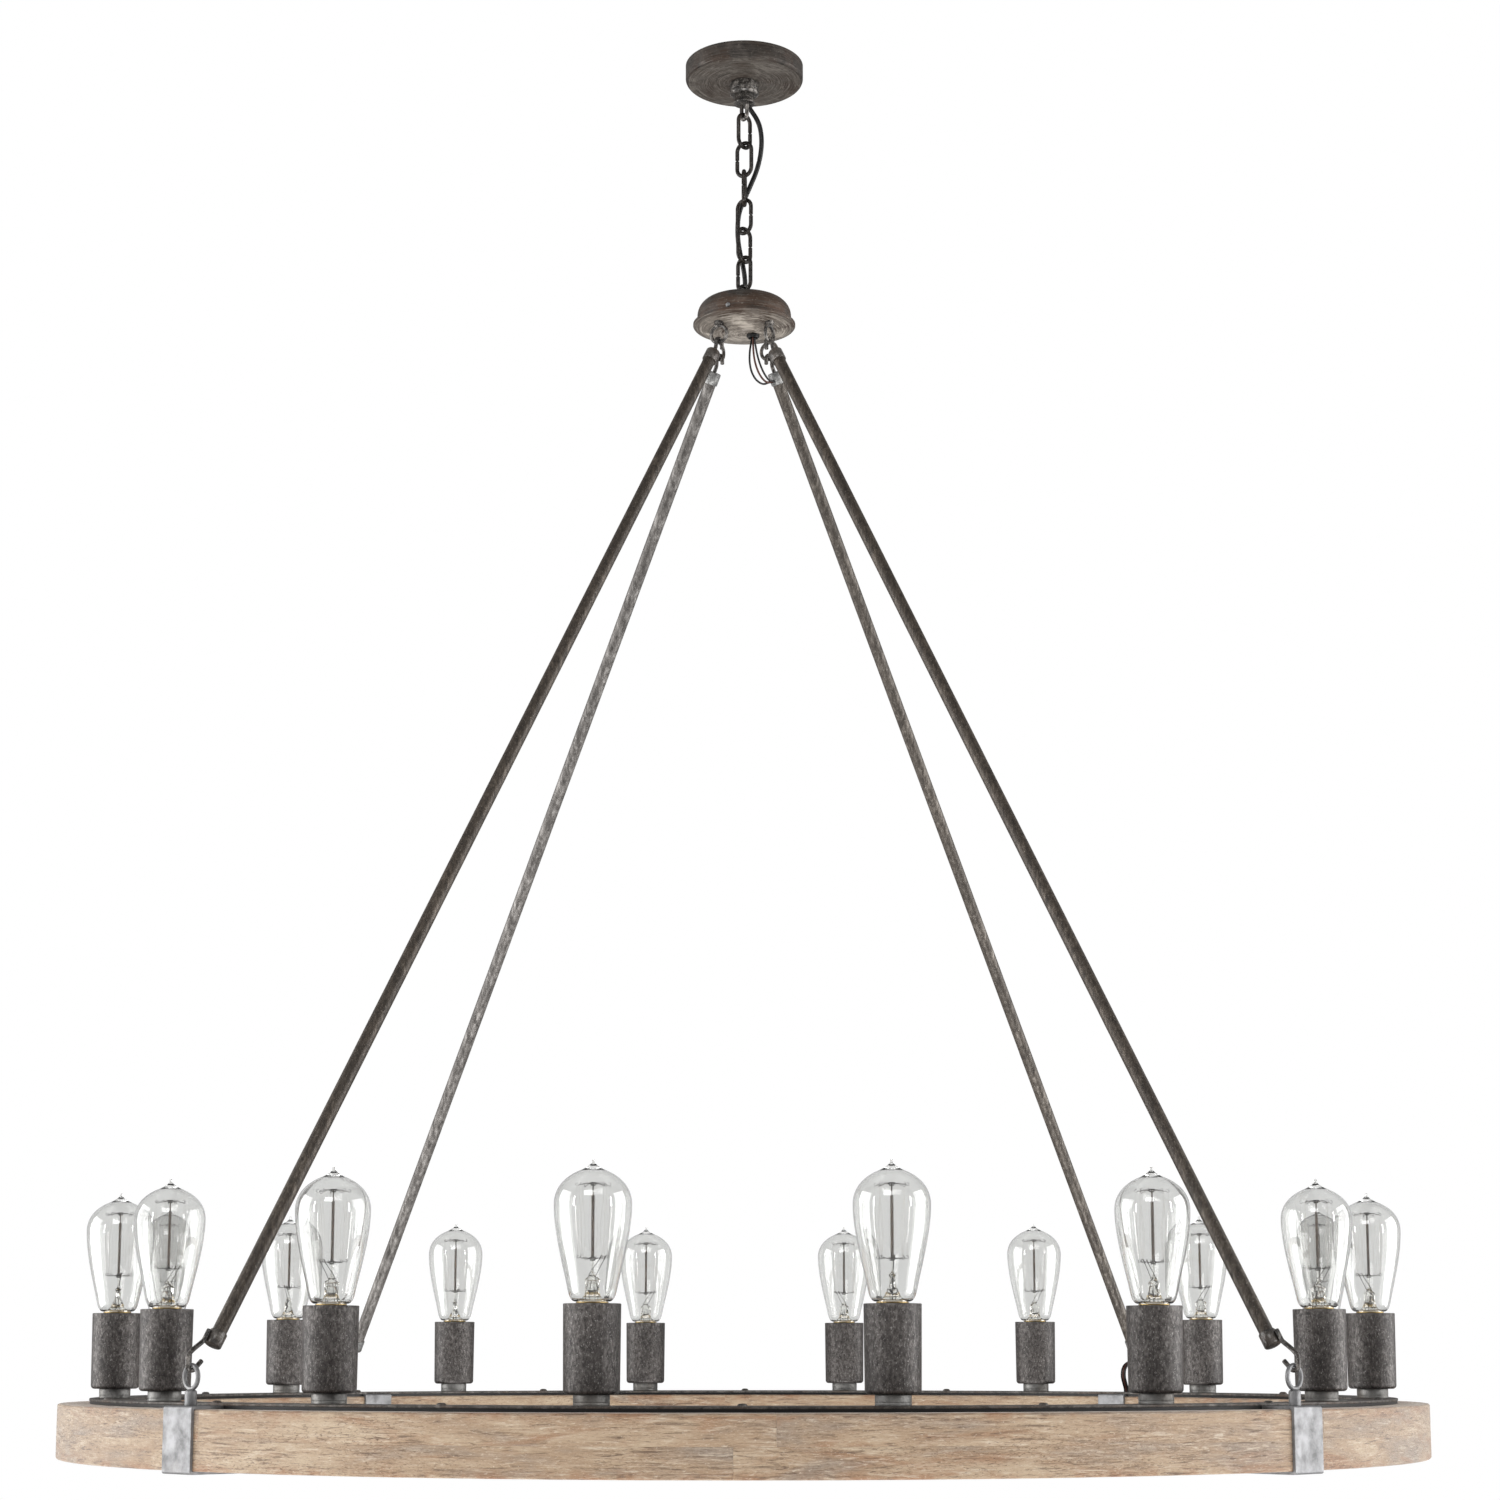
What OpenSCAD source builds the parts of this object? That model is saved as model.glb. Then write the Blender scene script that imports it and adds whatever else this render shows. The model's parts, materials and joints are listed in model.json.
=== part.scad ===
// Ring chandelier: ceiling canopy, chain, round hub, four hooked rods and a
// strapped timber ring that carries sixteen lamp sockets.
// The origin is the middle of the ceiling plane. Everything hangs below it, +Z is up.

/* [Canopy] */
// Diameter of the ceiling canopy
canopy_d = 128; // [118:1:150]
// Height of the canopy's skirt
canopy_h = 20; // [17:0.5:26]
// Wall of the canopy's pressing
canopy_wall = 1.5; // [1:0.1:2]
// Radius of the canopy's lower edge
canopy_edge_r = 5; // [3:0.5:7]
// Distance between the two mounting holes of the crossbar
mount_spacing = 88.9; // [80:0.1:95]
// Diameter of the crossbar's mounting holes
mount_hole_d = 5.2; // [4.4:0.1:6]
// Width of the crossbar
crossbar_w = 20; // [16:1:24]
// Thickness of the crossbar
crossbar_t = 2.5; // [2:0.1:3]
// Diameter of the screw collar under the canopy
collar_d = 31.5; // [28:0.5:36]
// Height of the screw collar
collar_h = 14; // [11:0.5:18]

/* [Loops and chain] */
// Diameter of the loop nut at the top of its body
loop_nut_d = 21; // [19:0.5:24]
// Height of the loop nut
loop_nut_h = 10; // [9:0.5:12]
// Outer width of the canopy's wire loop
canopy_loop_w = 16; // [15.6:0.1:16.6]
// Depth from the loop nut to the middle of the loop's wire
canopy_loop_drop = 17; // [14:0.5:22]
// Wire diameter of the loops and links
link_wire = 4.4; // [4:0.1:4.6]
// Outer length of a chain link
link_l = 41.8; // [38:0.1:50]
// Outer width of a chain link
link_w = 22; // [21:0.1:24]
// Slack between two linked wires
link_gap = 0.4; // [0.3:0.05:0.6]
// Opening left in the side of each bent link
link_slit = 1.2; // [0.6:0.1:2]
// Outer width of the hub's wire loop
hub_loop_w = 18; // [17:0.1:19]
// Depth from the middle of the hub loop's wire to its nut
hub_loop_drop = 10.2; // [9.6:0.1:14]
// Height of the hub loop's nut
hub_nut_h = 6; // [4:0.5:9]
// Diameter of the supply cord
cord_d = 5.2; // [4.6:0.1:5.4]

/* [Hub] */
// Diameter of the hub's cap
hub_cap_d = 101; // [97:0.5:104]
// Height of the hub's cap
hub_cap_h = 26; // [24:0.5:32]
// Radius of the cap's shoulder
hub_shoulder_r = 18; // [12:0.5:20]
// Wall of the hub's cap and plate
hub_wall = 1.8; // [1.4:0.1:2.2]
// Diameter of the hub's bottom plate
hub_plate_d = 110; // [108:0.5:120]
// Thickness of the plate's rim
hub_rim_t = 3.5; // [2.5:0.1:5]
// Bulge of the plate's underside
hub_bulge = 9; // [7:0.5:10]
// Radius of the circle of hub eyes
hub_eye_r = 38; // [36:0.5:40]
// Outer diameter of a hub eye's ring
hub_eye_d = 22.6; // [21.5:0.1:24]
// Wire diameter of the hub eyes
hub_eye_wire = 3.8; // [3.4:0.1:4]
// Turn of each hub eye away from the tangent
hub_eye_turn = 17; // [0:1:20]

/* [Rods] */
// Outer diameter of a rod
rod_d = 13; // [12:0.1:13.5]
// Wall of a rod's tube
rod_wall = 1.5; // [1:0.1:1.6]
// Outer diameter of a rod's end sleeve
sleeve_d = 15.6; // [15:0.1:17]
// Length of a rod's end sleeve
sleeve_l = 13.5; // [12:0.5:18]
// End wall of a sleeve
sleeve_end = 2.5; // [2:0.1:3]
// Wire diameter of the rods' hooks
hook_wire = 4.2; // [3.8:0.1:4.4]

/* [Ring] */
// Height from the ceiling down to the metal band
drop = 1434; // [1200:1:1800]
// Outer diameter of the timber ring
ring_d = 1360; // [1330:1:1500]
// Radial width of the timber ring
ring_w = 76; // [72:1:90]
// Height of the timber ring
ring_h = 52; // [44:1:70]
// Radius of the timber's eased edges
ring_edge_r = 2; // [1:0.5:3]
// Timber pieces in each of the two layers
ring_pieces = 8; // [6:1:10]
// Glue line between two timber pieces
glue_gap = 0.2; // [0.1:0.05:0.3]
// Width of the wiring groove in the timber
groove_w = 24; // [22:0.5:26]
// Depth of the wiring groove
groove_depth = 14; // [12:0.5:16]
// Radial width of the metal band
band_w = 44; // [40:0.5:46]
// Thickness of the metal band
band_t = 2.2; // [1.8:0.1:3]
// Distance from the timber's outer edge to the band
band_inset = 30; // [28:0.5:32]
// Width of a strap
strap_w = 42; // [36:1:50]
// Thickness of a strap
strap_t = 2.6; // [2:0.1:3]
// Gap between a strap and the timber
strap_gap = 0.1; // [0.05:0.05:0.3]
// Outer diameter of a strap eye's ring
strap_eye_d = 24; // [22.5:0.1:26]
// Wire diameter of a strap eye
strap_eye_wire = 4; // [3.6:0.1:4.2]
// Diameter of a strap eye's post
eye_post_d = 10.5; // [9:0.5:12]
// Height of a strap eye's post
eye_post_h = 14; // [10:0.5:20]
// Distance from the timber's outer edge to the strap eyes
eye_inset = 11; // [10:0.5:13]
// Diameter of the band screws' heads
screw_head_d = 8.4; // [7:0.1:10]
// Height of the band screws' heads
screw_head_h = 2.2; // [1.6:0.1:3]
// Diameter of the band screws' shanks
screw_d = 4; // [3.5:0.1:4.5]
// Length of the band screws' shanks
screw_l = 20; // [16:1:22]

/* [Sockets] */
// Number of lamp sockets round the ring
lamps = 16; // [16:1:16]
// Diameter of a socket's neck
neck_d = 30; // [26:0.5:34]
// Height of a socket's neck
neck_h = 9; // [6:0.5:14]
// Diameter of a socket cup at its rim
cup_d = 47.4; // [45:0.2:52]
// Diameter of a socket cup near its foot
cup_foot_d = 46.2; // [44:0.2:52]
// Height of a socket cup
cup_h = 73; // [70:0.5:85]
// Wall of a socket cup
cup_wall = 1.6; // [1.2:0.1:2.2]
// Thickness of a socket cup's floor
cup_floor = 2; // [1.5:0.1:3]
// Diameter of a lampholder
holder_d = 38; // [36:0.5:40]
// Height of a lampholder
holder_h = 45; // [42:0.5:48]
// Depth of the lampholder below the cup's rim
holder_inset = 3; // [2.5:0.1:3.8]

/* [Lamps] */
// Diameter of the lamp's screw cap
cap_d = 26.4; // [26:0.1:26.6]
// Length of the lamp's screw cap
cap_l = 24; // [22:0.5:25]
// Largest diameter of the lamp's glass
glass_d = 64; // [56:1:70]
// Height of the glass above the cup's rim
glass_h = 117.4; // [105:0.5:130]
// Wall of the lamp's glass
glass_wall = 0.8; // [0.6:0.1:1]

/* [Hidden] */
$fn = 48;

// Clearances
fit_gap = 0.1;
loose_gap = 0.3;
lamp_gap = 0.3;

// Threaded tube that carries the canopy, the hub and every socket
nipple_r = 5;
nipple_bore_r = 3.5;
locknut_r = 8;
locknut_h = 4;
thin_nut_h = 3;
ground_screw_at = 24;
ground_screw_r = 2;
ground_screw_h = 6;
crossbar_end = 8;

// Levels of the canopy, from the ceiling down
canopy_r = canopy_d / 2;
collar_top = -canopy_h;
collar_bottom = collar_top - collar_h;
loop_nut_bottom = collar_bottom - loop_nut_h;
loop_nut_flare = 1.4;
nipple_grip = 5;
canopy_loop_z = loop_nut_bottom - canopy_loop_drop;
canopy_loop_yaw = -60;

// Chain: each link hangs a pitch below the one before
wire_r = link_wire / 2;
wire_step = link_wire + link_gap;
link_r = (link_w - link_wire) / 2;
link_half = (link_l - link_wire) / 2;
link_yaws = [45, -30, 85, -35, 42, -40];
link_slit_side = [1, -1, -1, 1, 1, -1];
function link_z(k) = canopy_loop_z + wire_step - link_half
    - (k - 1) * (2 * link_half - wire_step);
hub_loop_z = link_z(6) - link_half + wire_step;
hub_loop_yaw = 50;

// Hub levels
hub_top = hub_loop_z - hub_loop_drop - hub_nut_h;
hub_nut_r = 7;
plate_top = hub_top - hub_cap_h;
plate_bottom = plate_top - hub_rim_t;
plate_r = hub_plate_d / 2;
bulge_r = (pow(plate_r, 2) + pow(hub_bulge, 2)) / (2 * hub_bulge);
bulge_centre = plate_bottom - hub_bulge + bulge_r;
function plate_z(r) = bulge_centre - sqrt(pow(bulge_r, 2) - pow(r, 2));
flange_h = 8;
hub_cap_r = hub_cap_d / 2;
flange_r = hub_cap_r - hub_wall - loose_gap;
hub_screw_turns = [-110, 10, 130];
hub_screw_r = 1.5;
hub_screw_head_r = 2.6;
hub_screw_head_h = 1.4;
cord_hole_at = [1, 14];
bushing_wall = 1.3;
bushing_lip = 1.2;
bushing_at = [9.5, 0];
bushing_bore_r = 4.4;
bushing_drop = 4;
hub_eye_post_r = 2.5;
hub_eye_boss_r = 5.2;
hub_eye_ring_r = (hub_eye_d - hub_eye_wire) / 2;
hub_eye_z = plate_z(hub_eye_r) - 1.5 - hub_eye_d / 2;

// Hooks: wire centrelines are given as radius and height
hook_r = hook_wire / 2;
upper_hook_bend = (hook_wire + hub_eye_wire) / 2 + loose_gap;
lower_hook_bend = (hook_wire + strap_eye_wire) / 2 + loose_gap;
upper_hook_tip = 6.6;
lower_hook_tip = 10;

// Ring levels
band_top = -drop;
band_bottom = band_top - band_t;
strap_top = band_bottom;
ring_top = strap_top - strap_t - strap_gap;
ring_mid = ring_top - ring_h / 2;
ring_bottom = ring_top - ring_h;
ring_ro = ring_d / 2;
ring_ri = ring_ro - ring_w;
band_ro = ring_ro - band_inset;
band_ri = band_ro - band_w;
lamp_r = band_ro - 24;
band_screw_at = band_ro - 8;
wire_hole_at = band_ro - 19;
wire_hole_r = 4.6;
eye_r = ring_ro - eye_inset;
strap_eye_ring_r = (strap_eye_d - strap_eye_wire) / 2;
strap_eye_z = strap_top + eye_post_h + strap_eye_ring_r + 0.5;
eye_stud_r = 3;
eye_stud_l = 32;
timber_facets = 360;
layer_seam = 0.02;
upper_joint_turn = 2.3;
lower_joint_turn = -0.6;
rod_turns = [-135, -45, 135, 45];
feed_turn = 45;

// Rod ends, as radius and height
rod_top = [hub_eye_r + 8, hub_eye_z - 22];
lower_hook_in = 20.5;
lower_hook_up = 26.5;
rod_bottom = [eye_r - lower_hook_in, strap_eye_z + lower_hook_up];
rod_run = rod_bottom[0] - rod_top[0];
rod_fall = rod_top[1] - rod_bottom[1];
rod_l = norm([rod_run, rod_fall]);
rod_tilt = atan2(rod_run, rod_fall);
rod_r = rod_d / 2;
sleeve_r = sleeve_d / 2;
hook_head_r = 4.2;
hook_head_h = 2;
feed_hole_at = 8.5;
feed_hole_r = 4.3;

// Rod directions in the plane of one rod: along it, and square to it outwards
rod_dir = [sin(rod_tilt), -cos(rod_tilt)];
rod_out = [cos(rod_tilt), sin(rod_tilt)];

// Sockets, from the band upwards
neck_top = band_top + neck_h;
cup_top = neck_top + cup_h;
cup_foot_r = 3.5;
holder_top = cup_top - holder_inset;
holder_bottom = holder_top - holder_h;
shell_wall = 0.5;
shell_r = cap_d / 2 + lamp_gap;
shell_l = cap_l + 1;
holder_bore_r = shell_r + shell_wall + fit_gap;
holder_bore_l = cap_l + 7;
holder_floor = holder_top - holder_bore_l;
nipple_up = 6;
nipple_down = 8;
lamp_step = 360 / lamps;
lamp_turn = lamp_step / 2;
bus_r = 1.3;
bus_side = 1.6;
bus_z = ring_top - groove_depth + bus_r + fit_gap;
lead_r = 0.9;

// Lamp parts, as heights above the cup's rim
cap_top_h = 1.5;
cap_bottom_h = cap_top_h - cap_l;
tip_l = 3.2;
tip_r = 4.8;
neck_r = cap_d / 2 - 0.6;
stem_r = 5;
stem_top_h = 24;
spider_low_h = 36;
spider_high_h = 97;
spider_low_r = 12;
spider_high_r = 14;
filament_r = 0.35;
filament_count = 8;

// Supply cord, from inside the canopy's nipple to inside the hub
cord_route = [
    [0, 0, -1], [0, 0, -12], [0, 0, -24], [0, 0, -34], [0.6, 0.3, -39],
    [2.6, 1.5, -43], [5.6, 3, -47], [9, 3.4, -52], [13, 2.5, -59],
    [16.5, 1.5, -68], [18.4, 1, -79], [18.6, 1.5, -92], [16.6, 4, -106],
    [12.6, 8, -119], [7.2, 12.2, -131], [1.8, 14.8, -143], [-3.2, 14.4, -155],
    [-6.3, 12.6, -168], [-7.2, 11.6, -182], [-6.6, 11.4, -196],
    [-4.4, 12, -210], [-1.4, 13, -224], [0.6, 13.8, -238], [1, 14, -252],
    [1, 14, -266], [1, 14, -278]];

// Feed wires: from the hub's connectors through its bushing to the back right rod
feed_wire_r = 1.1;
feed_wire_pitch = 2.4;
feed_top = [
    [9.5, 0, -290], [9.5, 0, -300], [9.5, 0, -311], [10, 1.6, -321],
    [11.5, 5, -331], [14.5, 10, -340], [19, 16.5, -347], [24.5, 23.5, -350.5]];
// The same wires below the rod, as radius and height in the rod's plane
feed_low = [
    [649.5, -1388], [649, -1393], [644.5, -1397.5], [637.5, -1400],
    [630.5, -1403.5], [626.5, -1409.5], [626, -1417], [628.5, -1424],
    [631, -1431], [631, -1440], [631, -1448]];

function arc(c, r, from, to, n = 8) =
    [for (i = [0:n]) let (a = from + (to - from) * i / n)
        [c[0] + r * cos(a), c[1] + r * sin(a)]];
function bezier(a, b, c, d, n = 8) =
    [for (i = [0:n]) let (t = i / n, s = 1 - t)
        a * s * s * s + b * 3 * s * s * t + c * 3 * s * t * t + d * t * t * t];
function unit(v) = v / norm(v);
function turned(r, turn) = [r * cos(turn), r * sin(turn)];

// A round tube through the points of a route, with flat ends
module tube_along(route, r, sides, side_way) {
    last = len(route) - 1;
    rings = [for (i = [0:last])
        let (t = unit(route[min(i + 1, last)] - route[max(i - 1, 0)]),
             u = unit(cross(side_way, t)),
             v = cross(t, u))
        for (j = [0:sides - 1])
            let (a = 360 * j / sides)
            route[i] + r * (cos(a) * u + sin(a) * v)];
    walls = [for (i = [0:last - 1]) for (j = [0:sides - 1])
        let (a = i * sides + j,
             b = i * sides + (j + 1) % sides,
             c = b + sides,
             d = a + sides)
        each [[c, b, a], [d, c, a]]];
    first_end = [for (j = [1:sides - 2]) [0, j, j + 1]];
    last_end = [for (j = [1:sides - 2])
        [last * sides, last * sides + j + 1, last * sides + j]];
    polyhedron(points = rings, faces = concat(walls, first_end, last_end));
}

module tube(r_out, r_in, h) {
    difference() {
        cylinder(r = r_out, h = h);
        translate([0, 0, -1]) cylinder(r = r_in, h = h + 2);
    }
}

// A straight wire between two points given as radius and height
module wire_run(a, b, r) {
    d = b - a;
    translate([a[0], 0, a[1]]) rotate([0, atan2(d[0], d[1]), 0])
        cylinder(r = r, h = norm(d));
}

// A wire arc in the plane of radius and height
module wire_arc(c, bend, from, to, r) {
    translate([c[0], 0, c[1]]) rotate([90, 0, 0]) rotate([0, 0, min(from, to)])
        rotate_extrude(angle = abs(to - from)) translate([bend, 0]) circle(r = r);
}

module hex_nut(r, h, bore) {
    difference() {
        cylinder(r = r, h = h, $fn = 6);
        translate([0, 0, -1]) cylinder(r = bore, h = h + 2);
    }
}

module each_lamp() {
    for (i = [0:lamps - 1])
        rotate([0, 0, lamp_turn + lamp_step * i]) translate([lamp_r, 0, 0]) children();
}

module each_rod() {
    for (turn = rod_turns) rotate([0, 0, turn]) children();
}

// Puts a child at the top of a rod, with its Z axis running down the rod
module on_rod(turn) {
    rotate([0, 0, turn]) translate([rod_top[0], 0, rod_top[1]])
        rotate([0, 180 - rod_tilt, 0]) children();
}

// Canopy

module canopy() {
    inner_r = canopy_edge_r - canopy_wall;
    hole_r = nipple_r + fit_gap;
    edge = [canopy_r - canopy_edge_r, collar_top + canopy_edge_r];
    color("dimgray") rotate_extrude() polygon(concat(
        [[hole_r, collar_top]],
        arc(edge, canopy_edge_r, -90, 0),
        [[canopy_r, 0], [canopy_r - canopy_wall, 0]],
        arc(edge, inner_r, 0, -90),
        [[hole_r, collar_top + canopy_wall]]));
}

module crossbar() {
    l = mount_spacing + 2 * crossbar_end;
    color("silver") difference() {
        translate([-l / 2, -crossbar_w / 2, -crossbar_t]) cube([l, crossbar_w, crossbar_t]);
        translate([0, 0, -crossbar_t - 1]) {
            cylinder(r = nipple_r + fit_gap, h = crossbar_t + 2);
            for (side = [-1, 1]) translate([side * mount_spacing / 2, 0, 0])
                cylinder(r = mount_hole_d / 2, h = crossbar_t + 2);
            translate([ground_screw_at, 0, 0])
                cylinder(r = ground_screw_r + fit_gap, h = crossbar_t + 2);
        }
    }
}

module ground_screw() {
    color("seagreen") translate([ground_screw_at, 0, -crossbar_t - ground_screw_h / 2]) {
        cylinder(r = ground_screw_r, h = ground_screw_h / 2 + crossbar_t);
        cylinder(r = 2 * ground_screw_r, h = ground_screw_h / 2);
    }
}

module canopy_nipple() {
    color("silver") translate([0, 0, collar_bottom - nipple_grip])
        tube(nipple_r, nipple_bore_r, -collar_bottom + nipple_grip);
}

module canopy_locknut() {
    color("silver") translate([0, 0, -crossbar_t - locknut_h])
        hex_nut(locknut_r, locknut_h, nipple_r + fit_gap);
}

module canopy_collar() {
    r = collar_d / 2;
    groove = 0.8;
    color("dimgray") rotate_extrude() polygon([
        [nipple_r + fit_gap, collar_top], [r - groove, collar_top],
        [r, collar_top - groove], [r, collar_bottom + 3 * groove],
        [r - 1.5 * groove, collar_bottom], [nipple_r + fit_gap, collar_bottom]]);
}

module canopy_loop() {
    bend = (canopy_loop_w - link_wire) / 2;
    r = loop_nut_d / 2;
    foot_r = r + loop_nut_flare;
    slot_w = cord_d + 2 * loose_gap;
    color("dimgray") difference() {
        union() {
            rotate_extrude() polygon([
                [0, collar_bottom], [r, collar_bottom], [r, loop_nut_bottom + 3],
                [foot_r, loop_nut_bottom + 1.2], [foot_r, loop_nut_bottom + 0.4],
                [foot_r - 0.4, loop_nut_bottom], [0, loop_nut_bottom]]);
            rotate([0, 0, canopy_loop_yaw]) {
                for (side = [-1, 1])
                    translate([side * bend, 0, canopy_loop_z + bend])
                        cylinder(r = wire_r, h = loop_nut_bottom - canopy_loop_z - bend + 1);
                wire_arc([0, canopy_loop_z + bend], bend, 180, 360, wire_r);
            }
        }
        translate([0, 0, collar_bottom - nipple_grip - fit_gap])
            cylinder(r = nipple_r + fit_gap, h = nipple_grip + 1);
        rotate([0, 0, canopy_loop_yaw + 90])
            translate([-slot_w / 2, -slot_w / 2, loop_nut_bottom - 1])
                cube([slot_w / 2 + r - 0.8, slot_w, loop_nut_h - nipple_grip + 1]);
    }
}

// Chain

module chain_link(k) {
    color("dimgray") translate([0, 0, link_z(k)]) rotate([0, 0, link_yaws[k - 1]])
        difference() {
            straight = link_half - link_r;
            union() {
                for (side = [-1, 1]) translate([side * link_r, 0, -straight])
                    cylinder(r = wire_r, h = 2 * straight);
                wire_arc([0, straight], link_r, 0, 180, wire_r);
                wire_arc([0, -straight], link_r, 180, 360, wire_r);
            }
            translate([link_slit_side[k - 1] * link_r, 0, 0])
                cube([2 * link_wire, 2 * link_wire, link_slit], center = true);
        }
}

module supply_cord() {
    color("black") tube_along(cord_route, cord_d / 2, 8, [1, 0, 0]);
}

// Hub

module hub_loop() {
    bend = (hub_loop_w - link_wire) / 2;
    nut_top = hub_top + hub_nut_h;
    color("dimgray") difference() {
        union() {
            translate([0, 0, hub_top]) cylinder(r = hub_nut_r + wire_r / 2, h = hub_nut_h - 1);
            translate([0, 0, nut_top - 1]) cylinder(r = hub_nut_r, h = 1);
            rotate([0, 0, hub_loop_yaw]) {
                for (side = [-1, 1]) translate([side * bend, 0, nut_top - 2])
                    cylinder(r = wire_r, h = hub_loop_z - bend - nut_top + 2);
                wire_arc([0, hub_loop_z - bend], bend, 0, 180, wire_r);
            }
        }
        translate([0, 0, hub_top - 1]) cylinder(r = nipple_r + fit_gap, h = hub_nut_h - 1);
    }
}

module hub_cap() {
    inner_r = hub_shoulder_r - hub_wall;
    centre = [hub_cap_r - hub_shoulder_r, hub_top - hub_shoulder_r];
    color("dimgray") difference() {
        rotate_extrude() polygon(concat(
            [[nipple_r + fit_gap, hub_top]],
            arc(centre, hub_shoulder_r, 90, 0),
            [[hub_cap_r, plate_top], [hub_cap_r - hub_wall, plate_top]],
            arc(centre, inner_r, 0, 90),
            [[nipple_r + fit_gap, hub_top - hub_wall]]));
        translate([cord_hole_at[0], cord_hole_at[1], hub_top - hub_wall - 1])
            cylinder(r = cord_d / 2 + loose_gap + bushing_wall + fit_gap, h = hub_wall + 2);
        hub_screw_holes();
    }
}

module hub_screw_holes() {
    for (turn = hub_screw_turns) rotate([0, 0, turn])
        translate([flange_r - 4, 0, plate_top + flange_h / 2]) rotate([0, 90, 0])
            cylinder(r = hub_screw_r + fit_gap, h = 10);
}

module hub_plate() {
    dome = 16;
    inner = flange_r - hub_wall;
    color("dimgray") difference() {
        rotate_extrude() polygon(concat(
            [for (i = [0:dome]) let (r = (plate_r - 0.8) * i / dome) [r, plate_z(r)]],
            [[plate_r, plate_bottom + 0.8], [plate_r, plate_top - 0.8],
             [plate_r - 0.8, plate_top], [flange_r, plate_top],
             [flange_r, plate_top + flange_h], [inner, plate_top + flange_h]],
            [for (i = [dome:-1:0]) let (r = inner * i / dome) [r, plate_z(r) + hub_wall]]));
        translate([bushing_at[0], bushing_at[1], plate_bottom - 2 * hub_bulge])
            cylinder(r = bushing_bore_r + bushing_wall + fit_gap, h = 4 * hub_bulge);
        each_rod() translate([hub_eye_r, 0, plate_bottom - 2 * hub_bulge])
            cylinder(r = hub_eye_post_r + fit_gap, h = 4 * hub_bulge);
        hub_screw_holes();
    }
}

module hub_nipple() {
    below = hub_wall + locknut_h + 2;
    color("silver") translate([0, 0, hub_top - below])
        tube(nipple_r, nipple_bore_r, below + hub_nut_h - 2.5);
}

module hub_bushings() {
    cord_bore = cord_d / 2 + loose_gap;
    color("black") {
        translate([cord_hole_at[0], cord_hole_at[1], hub_top - hub_wall - bushing_lip]) {
            tube(cord_bore + bushing_wall, cord_bore, hub_wall + 2 * bushing_lip);
            translate([0, 0, hub_wall + bushing_lip])
                tube(cord_bore + 2 * bushing_wall, cord_bore, bushing_lip);
        }
        translate([bushing_at[0], bushing_at[1], 0]) difference() {
            bottom = plate_z(bushing_at[0]) - bushing_drop;
            union() {
                translate([0, 0, bottom])
                    cylinder(r = bushing_bore_r + bushing_wall, h = bushing_drop + 3 * hub_wall);
                translate([0, 0, bottom + bushing_drop - 2.4])
                    cylinder(r = bushing_bore_r + 2 * bushing_wall, h = 2);
            }
            translate([0, 0, bottom - 1]) cylinder(r = bushing_bore_r, h = bushing_drop + 4 * hub_wall);
        }
    }
}

module hub_screws() {
    color("silver") for (turn = hub_screw_turns) rotate([0, 0, turn])
        translate([flange_r - 3, 0, plate_top + flange_h / 2]) rotate([0, 90, 0]) {
            reach = hub_cap_r - flange_r + 3;
            cylinder(r = hub_screw_r, h = reach);
            translate([0, 0, reach + fit_gap / 2])
                cylinder(r = hub_screw_head_r, h = hub_screw_head_h);
            cylinder(r = hub_screw_r, h = reach + hub_screw_head_h);
        }
}

module hub_nuts() {
    seat = plate_z(hub_eye_r + 5) + hub_wall + loose_gap;
    color("silver") {
        translate([0, 0, hub_top - hub_wall - locknut_h])
            hex_nut(locknut_r, locknut_h, nipple_r + fit_gap);
        each_rod() translate([hub_eye_r, 0, seat])
            hex_nut(2 * hub_eye_post_r - 0.6, thin_nut_h, hub_eye_post_r + fit_gap);
    }
}

module hub_eyes() {
    color("dimgray") each_rod() translate([hub_eye_r, 0, 0]) {
        top = plate_z(hub_eye_r + 5) + hub_wall + loose_gap + thin_nut_h + 1;
        ring_top = hub_eye_z + hub_eye_ring_r;
        translate([0, 0, ring_top]) cylinder(r = hub_eye_post_r, h = top - ring_top);
        difference() {
            translate([0, 0, ring_top - 0.6]) cylinder(r = hub_eye_boss_r, h = 8);
            translate([-hub_eye_r, 0, bulge_centre]) sphere(r = bulge_r + fit_gap, $fn = 96);
        }
        translate([0, 0, hub_eye_z]) rotate([0, 0, hub_eye_turn]) rotate([0, 90, 0])
            rotate_extrude() translate([hub_eye_ring_r, 0]) circle(r = hub_eye_wire / 2);
    }
}

module wire_connectors() {
    r = 4.4;
    l = 16;
    at = 26;
    pitch = 12;
    lift = 1.2;
    color("orange") for (side = [-1, 0, 1])
        translate([at, side * pitch - l / 2, plate_z(at + r) + hub_wall + r + lift])
            rotate([-90, 0, 0]) rotate_extrude() polygon([
                [0, 0], [r, 0], [r, 4], [r - 1.6, l - 2], [r - 2.6, l], [0, l]]);
}

// The three feed wires run side by side, square to the plane of the back right rod
module rod_feed_wires() {
    side_way = [sin(feed_turn), -cos(feed_turn), 0];
    place = turned(1, feed_turn);
    function in_plane(p) = [p[0] * place[0], p[0] * place[1], p[1]];
    enter = rod_top + rod_dir * feed_hole_at - rod_out * (rod_r + 1.5);
    inside = rod_top + rod_dir * (feed_hole_at + 6);
    leave = rod_bottom - rod_dir * sleeve_l;
    route = concat(feed_top, [in_plane(enter), in_plane(inside), in_plane(leave)],
        [for (p = feed_low) in_plane(p)]);
    for (k = [-1, 0, 1])
        color(k == 0 ? "sienna" : "black")
            tube_along([for (p = route) p + side_way * (k * feed_wire_pitch)],
                feed_wire_r, 8, side_way);
}

// Rods

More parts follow.
